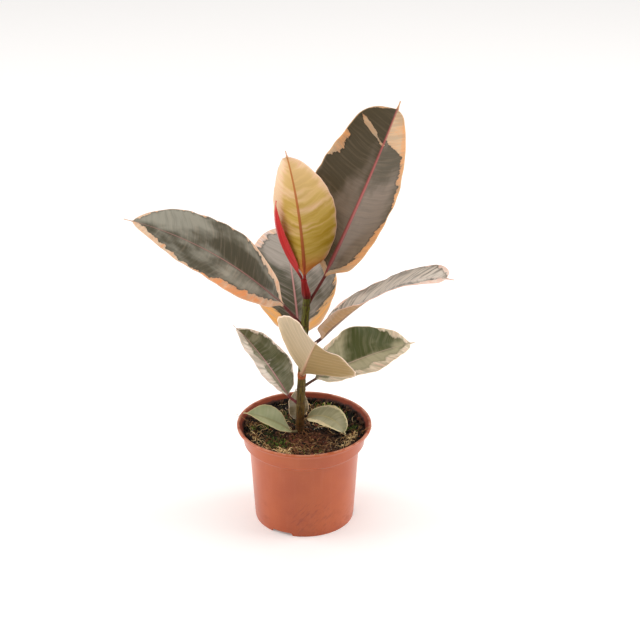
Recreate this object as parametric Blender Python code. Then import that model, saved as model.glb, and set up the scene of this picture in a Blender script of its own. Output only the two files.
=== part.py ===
"""A young variegated rubber plant in a 12 cm nursery pot.

Real size, +Z up. The origin is the middle of the pot's flat underside, +X is to the right of the
plant's front and +Y is away from its front. Sizes below are in millimetres and angles in degrees.
"""
import math
import random
from dataclasses import dataclass

import bmesh
import bpy
import numpy as np

MM = 0.001
GAP = 0.3                       # clear space between neighbouring pieces

# Pot, a thin moulded one
POT_HEIGHT = 92.0
LIP_RADIUS = 60.0
LIP_INNER_RADIUS = 57.0
LIP_THICKNESS = 2.4
COLLAR_TOP_RADIUS = 55.2
COLLAR_LOW_RADIUS = 53.9
COLLAR_HEIGHT = 17.5
BODY_TOP_RADIUS = 49.0
FOOT_RADIUS = 44.4
SHOULDER_DROP = 3.0
POT_WALL = 1.4
FLOOR_DISC_RADIUS = 33.0        # the middle of the floor, which stands on the table
CHANNEL_HEIGHT = 6.0            # the floor's raised outer ring
POT_SIDES = 48
NOTCH_COUNT = 3
NOTCH_WIDTH = 20.0
NOTCH_HEIGHT = 2.8
FIRST_NOTCH = -117.0            # compass of the notch that shows at the front left
DRAIN_HOLE_RADIUS = 3.0

# Soil, which fills the pot to a little below the lip and climbs its wall
SOIL_LEVEL = 82.4
SOIL_SIDES = 36
SOIL_RINGS = 9
SOIL_ROUGHNESS = 1.3
SOIL_EDGE_RISE = 4.0
PLANT_DEPTH = 38.0              # how far the stem reaches down into the soil

# Stem, a slightly leaning rod
STEM_TOP = 215.5
STEM_LOW_RADIUS = 3.8
STEM_TOP_RADIUS = 3.35
NODE_SWELLING = 0.35
STEM_SIDES = 12
STEM_LEAN = 6.6                 # how far the top stands to the right of the foot
STEM_FOOT_X = -3.9

# Bud, the closed red tip that the young leaf and its sheath stand on
BUD_HEIGHT = 17.5
BUD_WAIST = 2.8
BUD_BELLY = 4.0
BUD_LEAN = -2.6                 # how far its top stands to the right of its foot

# Blades
BLADE_THICKNESS = 0.8
DRIP_TIP_SHARE = 0.05           # the narrow tip's share of a blade's length
DRIP_TIP_HALF = 0.5             # half width at its very end
KEEL_HEIGHT = 1.1               # the midrib under a blade, at its thick end
ACROSS = (-1.0, -0.66, -0.3, 0.0, 0.3, 0.66, 1.0)


@dataclass
class Leaf:
    """One leaf, as it leaves the stem and as it is bent."""
    joint: float                # height of the stalk's foot on the stem
    heading: float              # compass of the stalk, 0 to the right, 90 to the back
    stalk: float                # length of the stalk, from the stem's middle
    stalk_rise: float           # slope of the stalk
    length: float               # length of the blade with its drip tip
    half: float                 # widest half width
    rise: float                 # slope of the blade at its neck
    droop: float                # how much of that slope is gone at the tip
    late: float = 1.0           # above 1 it bends mostly towards the tip
    turn: float = 0.0           # how far the blade's compass turns from the stalk's
    sweep: float = 0.0          # how far it turns on, from neck to tip
    roll: float = 0.0           # turn about the midrib, left half up
    twist: float = 0.0          # further roll from neck to tip
    lift: tuple = (10.0, 10.0)  # how far the left and right halves fold up
    curl: tuple = (6.0, 6.0)    # how far they bend on towards the margin
    relax: float = 0.0          # how fast that fold opens towards the tip
    widest: tuple = (0.5, 0.5)  # where each half is widest
    fullness: float = 0.62      # below 1 the outline is rounder
    blunt: tuple = (0.0, 0.0)   # how much rounder each half is towards the tip
    wave: float = 1.0           # height of the waves along the margin
    waves: float = 2.5          # number of waves along one margin
    stalk_radius: float = 1.5
    rings: int = 17


LEAVES = {
    "leaf_upper_right": Leaf(206.5, 17, 31, 58, length=166, half=46, rise=58, droop=2, turn=18, sweep=16,
                             roll=14, lift=(8, 20), curl=(6, 8), widest=(0.52, 0.41), blunt=(0.5, 0.0),
                             wave=1.2, stalk_radius=1.3),
    "leaf_left": Leaf(186, 178, 27, 50, length=162, half=42, rise=47, droop=32, sweep=2,
                      roll=-18, twist=10, lift=(3, 3), widest=(0.51, 0.52)),
    "leaf_back": Leaf(155, 98, 22, 25, length=136, half=40, rise=50, droop=45, lift=(5, 5)),
    "leaf_right": Leaf(163, -9, 20, 41, length=144, half=38, rise=47.5, droop=51, late=2.2, sweep=-13,
                       roll=-16, twist=12, lift=(43, 26), relax=1.9, curl=(4, 4), widest=(0.53, 0.5),
                       blunt=(0.4, 0.2), fullness=0.55),
    "leaf_front": Leaf(141, -84, 8, 30, length=148, half=42, rise=39.5, droop=4, roll=-37, twist=-10,
                       lift=(13, 10), relax=-0.5, curl=(1, -1), widest=(0.56, 0.56), fullness=0.83,
                       blunt=(0.43, 0.49), wave=0.5, stalk_radius=2.2),
    "leaf_low_left": Leaf(110, 168, 13, 32, length=82, half=26, rise=44, droop=12, turn=-35, sweep=14,
                          roll=14, lift=(12, 12), curl=(4, 4), stalk_radius=1.2),
    "leaf_low_right": Leaf(127, 14, 14, 30, length=96, half=34, rise=24, droop=18, sweep=2,
                           roll=9, lift=(16, 13), curl=(4, 4), wave=1.4, stalk_radius=1.2),
    "leaf_soil_left": Leaf(84.8, 228, 8, 2, length=49, half=12.3, rise=42.5, droop=34, turn=-44, sweep=-4,
                           roll=-42, lift=(40, 12), curl=(1, 11), widest=(0.45, 0.59), fullness=1.08,
                           wave=0.8, stalk_radius=1.0, rings=11),
    "leaf_soil_right": Leaf(94.5, -14, 6, 20, length=45, half=13.5, rise=36, droop=84, sweep=-34,
                            roll=24, lift=(2, 26), curl=(-6, -6), wave=0.6, stalk_radius=1.0, rings=11),
    "leaf_soil_back": Leaf(87, 104, 7, 20, length=29, half=11, rise=80, droop=15, roll=20,
                           lift=(8, 8), curl=(8, 8), wave=0.9, stalk_radius=0.9, rings=11),
}
YOUNG_LEAF = Leaf(0, -122, 3, 86, length=130, half=34.5, rise=86, droop=18, roll=32, lift=(8, 17),
                  relax=-1.3, curl=(30, 45), widest=(0.41, 0.44), blunt=(0.0, 0.1), fullness=0.76,
                  wave=0.6, stalk_radius=1.3)
SHEATH = Leaf(0, 176, 5, 66, length=72, half=7.6, rise=52, droop=-44, roll=42, lift=(20, 20), curl=(16, 16),
              widest=(0.4, 0.4), fullness=0.8, relax=0.6, wave=0.0, stalk_radius=1.3, rings=12)

# Finishes: base colour, roughness
FINISHES = {
    "pot": ((0.45, 0.13, 0.06), 0.55),
    "soil": ((0.035, 0.022, 0.016), 0.95),
    "stem": ((0.13, 0.12, 0.03), 0.6),
    "bud": ((0.42, 0.02, 0.02), 0.4),
    "leaf": ((0.12, 0.14, 0.09), 0.4),
    "pale_leaf": ((0.6, 0.52, 0.32), 0.45),
    "young_leaf": ((0.5, 0.4, 0.1), 0.4),
}


def finish(name):
    """The material of one finish, made the first time it is asked for."""
    material = bpy.data.materials.get(name) or bpy.data.materials.new(name)
    colour, roughness = FINISHES[name]
    material.use_nodes = True
    shader = material.node_tree.nodes["Principled BSDF"]
    shader.inputs["Base Color"].default_value = (*colour, 1.0)
    shader.inputs["Roughness"].default_value = roughness
    shader.inputs["Metallic"].default_value = 0.0
    return material


def add_object(name, points, faces, finish_name):
    """An object from points in millimetres, shaded smooth, its faces turned outward."""
    mesh = bpy.data.meshes.new(name)
    mesh.from_pydata([tuple(float(c) * MM for c in p) for p in points], [], faces)
    body = bmesh.new()
    body.from_mesh(mesh)
    bmesh.ops.recalc_face_normals(body, faces=body.faces)
    if body.calc_volume(signed=True) < 0.0:
        bmesh.ops.reverse_faces(body, faces=body.faces)
    body.to_mesh(mesh)
    body.free()
    mesh.shade_smooth()
    mesh.set_sharp_from_angle(angle=math.radians(40))
    mesh.materials.append(finish(finish_name))
    thing = bpy.data.objects.new(name, mesh)
    bpy.context.scene.collection.objects.link(thing)
    return thing


def ease(x, low, high):
    """Smooth step from 0 at low to 1 at high."""
    u = np.clip((x - low) / (high - low), 0.0, 1.0)
    return u * u * (3.0 - 2.0 * u)


def stem_point(z):
    """The middle of the stem at height z."""
    up = (z - SOIL_LEVEL) / (STEM_TOP - SOIL_LEVEL)
    sway = 0.9 * math.sin(math.pi * min(max(up, 0.0), 1.0))
    return np.array([STEM_FOOT_X + STEM_LEAN * up - sway, 0.0, z])


def stem_radius(z):
    """The stem's radius, with a soft swelling under each stalk."""
    up = min(max((z - SOIL_LEVEL) / (STEM_TOP - SOIL_LEVEL), 0.0), 1.0)
    plain = STEM_LOW_RADIUS + (STEM_TOP_RADIUS - STEM_LOW_RADIUS) * up
    swell = max(math.exp(-((z - leaf.joint + 1.0) / 2.2) ** 2) for leaf in LEAVES.values())
    return plain + NODE_SWELLING * swell


def lathe(profile, sides):
    """Rings of points round the Z axis and the faces of one closed turned body.

    The profile is a list of (radius, height) whose first and last points lie on the axis.
    """
    points = [(0.0, 0.0, profile[0][1])]
    for radius, height in profile[1:-1]:
        for k in range(sides):
            a = math.tau * k / sides
            points.append((radius * math.cos(a), radius * math.sin(a), height))
    points.append((0.0, 0.0, profile[-1][1]))
    last = len(points) - 1
    faces = []
    for k in range(sides):
        nxt = (k + 1) % sides
        faces.append((0, 1 + nxt, 1 + k))
        for ring in range(len(profile) - 3):
            a, b = 1 + ring * sides, 1 + (ring + 1) * sides
            faces.append((a + k, a + nxt, b + nxt, b + k))
        faces.append((last, last - sides + k, last - sides + nxt))
    return points, faces


def cutter(name, thing):
    """Marks an object as a cutter: it only shapes another one."""
    thing.name = name
    thing.hide_render = True
    thing.display_type = "WIRE"
    return thing


def wall_radius(z):
    """The inner radius of the pot's wall at height z."""
    low, high = CHANNEL_HEIGHT, POT_HEIGHT - COLLAR_HEIGHT - SHOULDER_DROP
    if z <= high:
        outer = FOOT_RADIUS + (BODY_TOP_RADIUS - FOOT_RADIUS) * z / high
    elif z < high + SHOULDER_DROP:
        outer = BODY_TOP_RADIUS + (COLLAR_LOW_RADIUS - BODY_TOP_RADIUS) * (z - high) / SHOULDER_DROP
    else:
        up = (z - high - SHOULDER_DROP) / (COLLAR_HEIGHT - 2 * LIP_THICKNESS)
        outer = COLLAR_LOW_RADIUS + (COLLAR_TOP_RADIUS - COLLAR_LOW_RADIUS) * min(up, 1.0)
    return outer - POT_WALL if z > low else 0.0


def make_pot():
    shoulder_top = POT_HEIGHT - COLLAR_HEIGHT
    shoulder_low = shoulder_top - SHOULDER_DROP
    lip_low = POT_HEIGHT - LIP_THICKNESS
    floor_top = CHANNEL_HEIGHT + POT_WALL
    outside = [
        (LIP_INNER_RADIUS, POT_HEIGHT - 0.7), (LIP_INNER_RADIUS + 0.9, POT_HEIGHT - 0.1),
        (LIP_RADIUS - 1.1, POT_HEIGHT), (LIP_RADIUS - 0.25, POT_HEIGHT - 0.6),
        (LIP_RADIUS, lip_low + 0.7), (LIP_RADIUS - 0.5, lip_low), (LIP_RADIUS - 2.6, lip_low - 0.8),
        (COLLAR_TOP_RADIUS + 0.6, lip_low - 2.2), (COLLAR_TOP_RADIUS, lip_low - 4.4),
        (COLLAR_LOW_RADIUS, shoulder_top + 1.0), (COLLAR_LOW_RADIUS - 0.8, shoulder_top - 0.3),
        (BODY_TOP_RADIUS + 0.7, shoulder_low + 0.4), (BODY_TOP_RADIUS, shoulder_low - 1.6),
        (FOOT_RADIUS + 0.35, CHANNEL_HEIGHT - 1.0), (FOOT_RADIUS - 0.2, 0.5), (FOOT_RADIUS - 0.6, 0.0),
    ]
    underside = [
        (FOOT_RADIUS - POT_WALL, 0.0), (FOOT_RADIUS - POT_WALL, CHANNEL_HEIGHT),
        (FLOOR_DISC_RADIUS + 4.0, CHANNEL_HEIGHT), (FLOOR_DISC_RADIUS, 0.0),
    ]
    inside = [
        (FLOOR_DISC_RADIUS - 1.0, POT_WALL), (FLOOR_DISC_RADIUS + 2.8, floor_top),
        (wall_radius(floor_top), floor_top), (wall_radius(shoulder_low), shoulder_low + 0.6),
        (wall_radius(shoulder_top), shoulder_top + 0.6), (COLLAR_TOP_RADIUS - POT_WALL, lip_low - 3.6),
        (LIP_INNER_RADIUS - 1.4, lip_low - 0.6),
    ]
    profile = [(0.0, POT_WALL), *inside, *outside, *underside, (0.0, 0.0)]
    pot = add_object("pot", *lathe(profile, POT_SIDES), "pot")
    for k in range(NOTCH_COUNT):
        angle = math.radians(FIRST_NOTCH + 360.0 * k / NOTCH_COUNT)
        bpy.ops.mesh.primitive_cube_add(size=1.0)
        notch = cutter(f"notch_cutter_{k}", bpy.context.object)
        notch.scale = (12.0 * MM, NOTCH_WIDTH * MM, 2 * NOTCH_HEIGHT * MM)
        notch.rotation_euler.z = angle
        notch.location = (FOOT_RADIUS * MM * math.cos(angle), FOOT_RADIUS * MM * math.sin(angle), 0.0)
        bpy.ops.mesh.primitive_cylinder_add(vertices=12, radius=DRAIN_HOLE_RADIUS * MM, depth=8 * MM)
        hole = cutter(f"drain_cutter_{k}", bpy.context.object)
        reach = (FLOOR_DISC_RADIUS + FOOT_RADIUS - POT_WALL + 3.4) / 2 * MM
        hole.location = (reach * math.cos(angle), reach * math.sin(angle), CHANNEL_HEIGHT * MM)
        for tool in (notch, hole):
            cut = pot.modifiers.new(tool.name, "BOOLEAN")
            cut.operation = "DIFFERENCE"
            cut.solver = "EXACT"
            cut.object = tool
    return pot


def make_soil():
    """The soil: its underside follows the pot's floor, and the stem stands in a plain hole."""
    draw = random.Random(7)
    foot = stem_point(SOIL_LEVEL)
    hole = STEM_LOW_RADIUS + NODE_SWELLING + GAP
    floor = POT_WALL + GAP
    step = CHANNEL_HEIGHT + POT_WALL + GAP
    edge = wall_radius(SOIL_LEVEL + SOIL_EDGE_RISE) - GAP
    shoulder_top = POT_HEIGHT - COLLAR_HEIGHT
    shoulder_low = shoulder_top - SHOULDER_DROP
    hole_floor = SOIL_LEVEL - PLANT_DEPTH - GAP
    rings = [(hole, hole_floor, 1.0, False), (hole, SOIL_LEVEL, 1.0, False)]
    for k in range(1, SOIL_RINGS):
        out = k / SOIL_RINGS
        rings.append((hole + (edge - hole) * out, SOIL_LEVEL + SOIL_EDGE_RISE * out ** 5, 1.0 - out, True))
    rings += [
        (edge, SOIL_LEVEL + SOIL_EDGE_RISE, 0.0, False),
        (wall_radius(shoulder_top) - GAP - 0.2, shoulder_top + 0.6 + GAP, 0.0, False),
        (wall_radius(shoulder_low) - GAP - 0.2, shoulder_low + 0.6 + GAP, 0.0, False),
        (wall_radius(step) - GAP, step, 0.0, False),
        (FLOOR_DISC_RADIUS + 2.2, step, 0.0, False), (FLOOR_DISC_RADIUS - 1.6, floor, 0.0, False),
    ]
    points = [(foot[0], foot[1], hole_floor)]
    for radius, height, toward_stem, rough in rings:
        for k in range(SOIL_SIDES):
            a = math.tau * k / SOIL_SIDES
            bump = draw.uniform(-SOIL_ROUGHNESS, SOIL_ROUGHNESS) if rough else 0.0
            points.append((foot[0] * toward_stem + radius * math.cos(a),
                           foot[1] * toward_stem + radius * math.sin(a), height + bump))
    points.append((0.0, 0.0, floor))
    last = len(points) - 1
    faces = []
    for k in range(SOIL_SIDES):
        nxt = (k + 1) % SOIL_SIDES
        faces.append((0, 1 + k, 1 + nxt))
        for ring in range(len(rings) - 1):
            a, b = 1 + ring * SOIL_SIDES, 1 + (ring + 1) * SOIL_SIDES
            faces.append((a + k, b + k, b + nxt))
            faces.append((a + k, b + nxt, a + nxt))
        faces.append((last, last - SOIL_SIDES + nxt, last - SOIL_SIDES + k))
    return add_object("soil", points, faces, "soil")


def make_stem():
    """The stem, from its foot in the soil to the bud."""
    foot = SOIL_LEVEL - PLANT_DEPTH
    heights = [foot, foot + 12.0, SOIL_LEVEL - 6.0]
    heights += list(np.linspace(SOIL_LEVEL, STEM_TOP, 30))
    points, faces = [], []
    for z in heights:
        centre = stem_point(max(z, SOIL_LEVEL)) * (1, 1, 0) + (0, 0, z)
        radius = stem_radius(z) * (0.8 if z == foot else 1.0)
        for k in range(STEM_SIDES):
            a = math.tau * k / STEM_SIDES
            points.append(centre + (radius * math.cos(a), radius * math.sin(a), 0.0))
    for ring in range(len(heights) - 1):
        for k in range(STEM_SIDES):
            a, b = ring * STEM_SIDES, (ring + 1) * STEM_SIDES
            nxt = (k + 1) % STEM_SIDES
            faces.append((a + k, a + nxt, b + nxt, b + k))
    faces.append(tuple(range(STEM_SIDES)))
    faces.append(tuple(range(len(points) - STEM_SIDES, len(points))))
    return add_object("stem", points, faces, "stem")


def make_bud():
    """The red bud: a small vase shape on the stem's top."""
    base = stem_point(STEM_TOP)
    shape = ((0.0, STEM_TOP_RADIUS - 0.2), (0.12, BUD_BELLY - 0.2), (0.28, BUD_BELLY), (0.5, BUD_BELLY - 0.5),
             (0.8, BUD_WAIST + 0.1), (1.0, BUD_WAIST))
    low = STEM_TOP + GAP
    profile = [(0.0, low)]
    profile += [(radius, low + share * BUD_HEIGHT) for share, radius in shape]
    profile += [(0.0, low + BUD_HEIGHT)]
    points, faces = lathe(profile[::-1], STEM_SIDES)
    lean = BUD_LEAN / BUD_HEIGHT
    moved = [(x + base[0] + lean * (z - STEM_TOP), y, z) for x, y, z in points]
    return add_object("bud", moved, faces, "bud")


def half_width(t, leaf, side):
    """The half width of a blade at t, from 0 at its neck to 1 at its drip tip."""
    power = math.log(0.5) / math.log(leaf.widest[side])
    body = np.clip(t / (1.0 - DRIP_TIP_SHARE), 0.0, 1.0)
    full = leaf.fullness * (1.0 - leaf.blunt[side] * ease(t, 0.55, 0.95))
    oval = np.clip(np.sin(math.pi * body ** power), 0.0, 1.0) ** full
    drip = 0.085 * np.clip((1.0 - t) / (2.2 * DRIP_TIP_SHARE), 0.0, 1.0) ** 1.3 * ease(t, 0.5, 0.95)
    return np.maximum(leaf.half * np.maximum(oval, drip), DRIP_TIP_HALF)


def leaf_path(leaf, start, places):
    """Points, directions, side vectors and normals of stalk and midrib.

    The places are distances from the blade's neck, and are negative on the stalk.
    """
    fine = np.linspace(-leaf.stalk, leaf.length, 400)
    t = np.clip(fine / leaf.length, 0.0, 1.0)
    on_blade = ease(fine, -6.0, 6.0)
    rise = np.radians(leaf.stalk_rise * (1 - on_blade) + (leaf.rise - leaf.droop * t ** leaf.late) * on_blade)
    heading = np.radians(leaf.heading + (leaf.turn + leaf.sweep * t) * on_blade)
    ahead = np.stack([np.cos(rise) * np.cos(heading), np.cos(rise) * np.sin(heading), np.sin(rise)], 1)
    steps = (ahead[1:] + ahead[:-1]) / 2 * (fine[1] - fine[0])
    line = start + np.concatenate([np.zeros((1, 3)), np.cumsum(steps, 0)])
    side = np.stack([-np.sin(heading), np.cos(heading), np.zeros_like(heading)], 1)
    normal = np.cross(ahead, side)
    return [np.stack([np.interp(places, fine, a[:, i]) for i in range(3)], 1)
            for a in (line, ahead, side, normal)]


def blade_surface(leaf, places, line, side, normal):
    """The middle surface of the blade, one row of points for each place."""
    t = np.clip(places / leaf.length, 0.0, 1.0)
    tilt = np.radians(leaf.roll + leaf.twist * t)[:, None]
    level = side * np.cos(tilt) + normal * np.sin(tilt)
    upward = normal * np.cos(tilt) - side * np.sin(tilt)
    still_folded = np.maximum(1 - leaf.relax * t, 0.1)
    columns = []
    for v in ACROSS:
        half = 0 if v > 0 else 1
        a = abs(v)
        fold = np.radians(leaf.lift[half] * still_folded + leaf.curl[half] * a / 2)
        fold = fold * (1 - ease(t, 0.88, 0.98))
        reach = half_width(t, leaf, half) * a
        ripple = leaf.wave * a * a * np.sqrt(np.sin(math.pi * t))
        ripple = ripple * np.sin(math.tau * (leaf.waves * t + 0.37 * half))
        out = reach * np.cos(fold) * math.copysign(1.0, v)
        columns.append(line + level * out[:, None] + upward * (reach * np.sin(fold) + ripple)[:, None])
    return np.stack(columns, 1)


def loft(rows_above, rows_below):
    """A closed body between two like grids of points, its triangles alike on both."""
    count, wide = rows_above.shape[:2]
    ring = np.concatenate([rows_above, rows_below[:, ::-1]], 1)
    points = ring.reshape(-1, 3)
    turn = 2 * wide
    faces = []
    for r in range(count - 1):
        a, b = r * turn, (r + 1) * turn
        for j in range(wide - 1):
            faces.append((a + j, a + j + 1, b + j + 1))
            faces.append((a + j, b + j + 1, b + j))
            low, nxt = turn - 1 - j, turn - 2 - j
            faces.append((a + low, b + nxt, a + nxt))
            faces.append((a + low, b + low, b + nxt))
        for j, k in ((wide - 1, wide), (turn - 1, 0)):
            faces.append((a + j, a + k, b + k))
            faces.append((a + j, b + k, b + j))
    for a in (0, (count - 1) * turn):
        for j in range(wide - 1):
            faces.append((a + j, a + j + 1, a + turn - 2 - j, a + turn - 1 - j))
    return points, faces


def leaf_body(leaf, start, seat=None):
    """Stalk and blade in one closed body, the stalk's foot cut to fit round the stem."""
    foot = 0.0 if seat is None else seat[1] / math.cos(math.radians(leaf.stalk_rise))
    first = min(-leaf.stalk + foot, -1.5)
    stalk_places = np.linspace(first, -1.2, 4) if first < -4.0 else np.array([first, -0.6])
    share = (1 - np.cos(np.linspace(0.0, math.pi, leaf.rings))) / 2
    share = 0.4 * np.linspace(0.0, 1.0, leaf.rings) + 0.6 * share
    places = np.concatenate([stalk_places, 0.8 + (leaf.length - 0.8) * share])
    line, ahead, side, normal = leaf_path(leaf, start, places)
    middle = blade_surface(leaf, places, line, side, normal)
    along = np.gradient(middle, axis=0)
    across = np.gradient(middle, axis=1)
    out = np.cross(along, across)
    out /= np.maximum(np.linalg.norm(out, axis=2, keepdims=True), 1e-9)
    out = np.where(np.abs(out).sum(2, keepdims=True) < 0.5, normal[:, None, :], out)
    half_thick = BLADE_THICKNESS / 2
    t = np.clip(places / leaf.length, 0.0, 1.0)
    keel = KEEL_HEIGHT * leaf.stalk_radius / 1.5 * (1 - t) ** 0.8
    above = middle + out * half_thick
    below = middle - out * half_thick
    middle_column = len(ACROSS) // 2
    below[:, middle_column] -= out[:, middle_column] * keel[:, None]
    angles = [math.pi / 2 * (1 - 0.9 * v) for v in ACROSS]
    tube = np.array([[math.cos(a), math.sin(a)] for a in angles]) * leaf.stalk_radius
    tilt = np.radians(leaf.roll + leaf.twist * t)[:, None] * ease(places, -leaf.stalk, 0.0)[:, None]
    level = side * np.cos(tilt) + normal * np.sin(tilt)
    upward = normal * np.cos(tilt) - side * np.sin(tilt)
    flat = ease(places, -1.5, 0.10 * leaf.length)[:, None, None]
    for rows, sign in ((above, 1.0), (below, -1.0)):
        round_rows = line[:, None] + level[:, None] * tube[:, 0, None] + upward[:, None] * tube[:, 1, None] * sign
        rows[:] = round_rows * (1 - flat) + rows * flat
    if seat is not None:
        centre, radius = seat
        forward = np.array([math.cos(math.radians(leaf.heading)), math.sin(math.radians(leaf.heading)), 0.0])
        sideways = np.array([-forward[1], forward[0], 0.0])
        for rows in (above, below):
            rel = rows[0] - centre
            target = np.sqrt(np.maximum(radius ** 2 - (rel @ sideways) ** 2, 0.0))
            shift = (target - rel @ forward) / (ahead[0] @ forward)
            rows[0] += ahead[0] * shift[:, None]
    return loft(above, below)


def make_leaves():
    """The ten open leaves, each on its stalk."""
    pale = ("leaf_front",)
    for name, leaf in LEAVES.items():
        centre = stem_point(leaf.joint)
        radius = max(stem_radius(leaf.joint + dz) for dz in (-3, -1, 0, 1, 3)) + GAP
        body = leaf_body(leaf, centre, (centre, radius))
        add_object(name, *body, "pale_leaf" if name in pale else "leaf")


def make_young_leaf_and_sheath():
    """The half open young leaf and the red sheath beside it, both on the bud's top."""
    top = stem_point(STEM_TOP) + (BUD_LEAN, 0.0, BUD_HEIGHT + 2 * GAP)
    add_object("young_leaf", *leaf_body(YOUNG_LEAF, top + (0.9, -0.6, 0.1)), "young_leaf")
    add_object("bud_sheath", *leaf_body(SHEATH, top + (-1.9, 0.5, 0.6)), "bud")


for old in list(bpy.data.objects):
    bpy.data.objects.remove(old, do_unlink=True)
make_pot()
make_soil()
make_stem()
make_bud()
make_leaves()
make_young_leaf_and_sheath()
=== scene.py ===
import math
import random
from dataclasses import dataclass

import bmesh
import bpy
import numpy as np
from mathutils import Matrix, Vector, noise


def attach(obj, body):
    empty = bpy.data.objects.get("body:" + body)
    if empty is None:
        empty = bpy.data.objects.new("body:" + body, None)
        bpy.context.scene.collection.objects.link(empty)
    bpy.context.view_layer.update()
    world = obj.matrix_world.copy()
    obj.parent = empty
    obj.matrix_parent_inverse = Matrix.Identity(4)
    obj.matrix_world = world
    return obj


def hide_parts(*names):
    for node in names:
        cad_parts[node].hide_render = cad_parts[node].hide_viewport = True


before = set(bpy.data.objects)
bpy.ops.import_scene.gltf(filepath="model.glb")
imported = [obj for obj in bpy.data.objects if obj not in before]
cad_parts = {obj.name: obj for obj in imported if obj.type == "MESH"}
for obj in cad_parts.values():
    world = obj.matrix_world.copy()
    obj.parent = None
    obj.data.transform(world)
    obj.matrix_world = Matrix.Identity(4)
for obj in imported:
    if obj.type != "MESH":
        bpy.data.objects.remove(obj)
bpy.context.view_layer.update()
MM = 0.001


# Pot: one thin shell of moulded plastic, with a rounded lip, a stacking collar, a tapered wall and a
# floor whose raised outer ring has three drain holes. Three notches at the foot let the water out.
class Shade:
    """A value on its way through a finish. Arithmetic on it adds the Math nodes that it takes."""

    def __init__(self, finish, socket):
        self.finish = finish
        self.socket = socket

    def math(self, operation, first, second):
        return self.finish.node("Math", {"operation": operation}, {0: first, 1: second})

    def __add__(self, other):
        return self.math("ADD", self, other)

    def __sub__(self, other):
        return self.math("SUBTRACT", self, other)

    def __rsub__(self, other):
        return self.math("SUBTRACT", other, self)

    def __mul__(self, other):
        return self.math("MULTIPLY", self, other)

    def __abs__(self):
        return self.math("ABSOLUTE", self, 0.0)

    __radd__ = __add__
    __rmul__ = __mul__

    def fold(self, gap):
        """How far this value is from the nearest even multiple of a gap."""
        return self.math("PINGPONG", self, gap)

    def step(self, low, high):
        """A soft step, from 0 where this value is low to 1 where it is high."""
        return self.finish.node("MapRange", {"interpolation_type": "SMOOTHSTEP"},
                                {0: self, 1: low, 2: high})

    def tint(self, share, colour):
        """This colour with another laid over it by a share."""
        return self.finish.mix(share, self, colour)


class Finish:
    """A procedural finish: its nodes, and the shader that they feed."""

    def __init__(self, name, roughness=0.5, specular=0.5, coat=0.0, coat_roughness=0.03):
        self.material = bpy.data.materials.new(name)
        self.material.use_nodes = True
        self.tree = self.material.node_tree
        self.shader = self.tree.nodes["Principled BSDF"]
        self.fill(self.shader, {"Roughness": roughness, "Specular IOR Level": specular,
                                "Coat Weight": coat, "Coat Roughness": coat_roughness})

    def fill(self, node, inputs):
        """Gives a node's sockets their values or links. Three values in a row make one vector."""
        for name, value in inputs.items():
            if isinstance(value, tuple) and isinstance(value[0], Shade):
                value = self.node("CombineXYZ", {}, dict(enumerate(value)))
            if isinstance(value, Shade):
                self.tree.links.new(value.socket, node.inputs[name])
            else:
                node.inputs[name].default_value = value

    def node(self, kind, settings, inputs, output=0):
        """Adds a node of one kind: its settings first, then the values or links of its sockets."""
        node = self.tree.nodes.new("ShaderNode" + kind)
        for name, value in settings.items():
            setattr(node, name, value)
        self.fill(node, inputs)
        return Shade(self, node.outputs[output])

    def here(self):
        """The place on the piece, in metres."""
        return self.node("TexCoord", {}, {}, "Object")

    def mark(self, name):
        """A vector that the piece's points carry."""
        return self.node("Attribute", {"attribute_name": name}, {}, "Vector")

    def parts(self, vector):
        x = self.node("SeparateXYZ", {}, {0: vector})
        return [Shade(self, output) for output in x.socket.node.outputs]

    def measure(self, operation, first, second):
        """One number from two vectors, such as their distance."""
        return self.node("VectorMath", {"operation": operation}, {0: first, 1: second}, "Value")

    def noise(self, where, scale, detail=2.0, roughness=0.5):
        """Cloudy values from 0 to 1."""
        return self.node("TexNoise", {}, {"Vector": where, "Scale": scale, "Detail": detail,
                                          "Roughness": roughness})

    def mix(self, share, first, second):
        """One colour laid over another by a share. A plain one is given by its screen values."""
        first, second = (hue(*c) if isinstance(c, tuple) else c for c in (first, second))
        return self.node("Mix", {"data_type": "RGBA"}, {0: share, 6: first, 7: second}, 2)

    def dress(self, colour, height, strength, depth, **others):
        """Gives the shader its colour, its relief and what else changes over the piece."""
        relief = self.node("Bump", {}, {"Height": height, "Strength": strength, "Distance": depth})
        self.fill(self.shader, {"Base Color": colour, "Normal": relief,
                                **{name.replace("_", " "): value for name, value in others.items()}})


def hue(red, green, blue):
    """A colour from its screen values, 0 to 255."""
    shares = [c / 255.0 for c in (red, green, blue)]
    return (*[((c + 0.055) / 1.055) ** 2.4 if c > 0.04 else c / 12.92 for c in shares], 1.0)


def add_piece(name, points, faces, finish, node=None, marks=None):
    """A smooth piece from points in millimetres. Its marks are named vectors, one for each point."""
    mesh = bpy.data.meshes.new(name)
    mesh.from_pydata((np.asarray(points, float) * MM).tolist(), [], [tuple(f) for f in faces])
    for label, values in (marks or {}).items():
        layer = mesh.attributes.new(label, "FLOAT_VECTOR", "POINT")
        layer.data.foreach_set("vector", np.asarray(values, np.float32).ravel())
    mesh.validate()
    mesh.shade_smooth()
    mesh.materials.append(finish.material)
    piece = bpy.data.objects.new(name, mesh)
    bpy.context.scene.collection.objects.link(piece)
    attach(piece, "root")
    if node:
        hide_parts(node)
    return piece


def rounded(profile, times):
    """An open outline with its corners cut off a few times over, which rounds them."""
    line = np.array(profile, float)
    for _ in range(times):
        near = line[:-1] * 0.75 + line[1:] * 0.25
        far = line[:-1] * 0.25 + line[1:] * 0.75
        line = np.concatenate([line[:1], np.stack([near, far], 1).reshape(-1, 2)[1:-1], line[-1:]])
    return line


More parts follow.
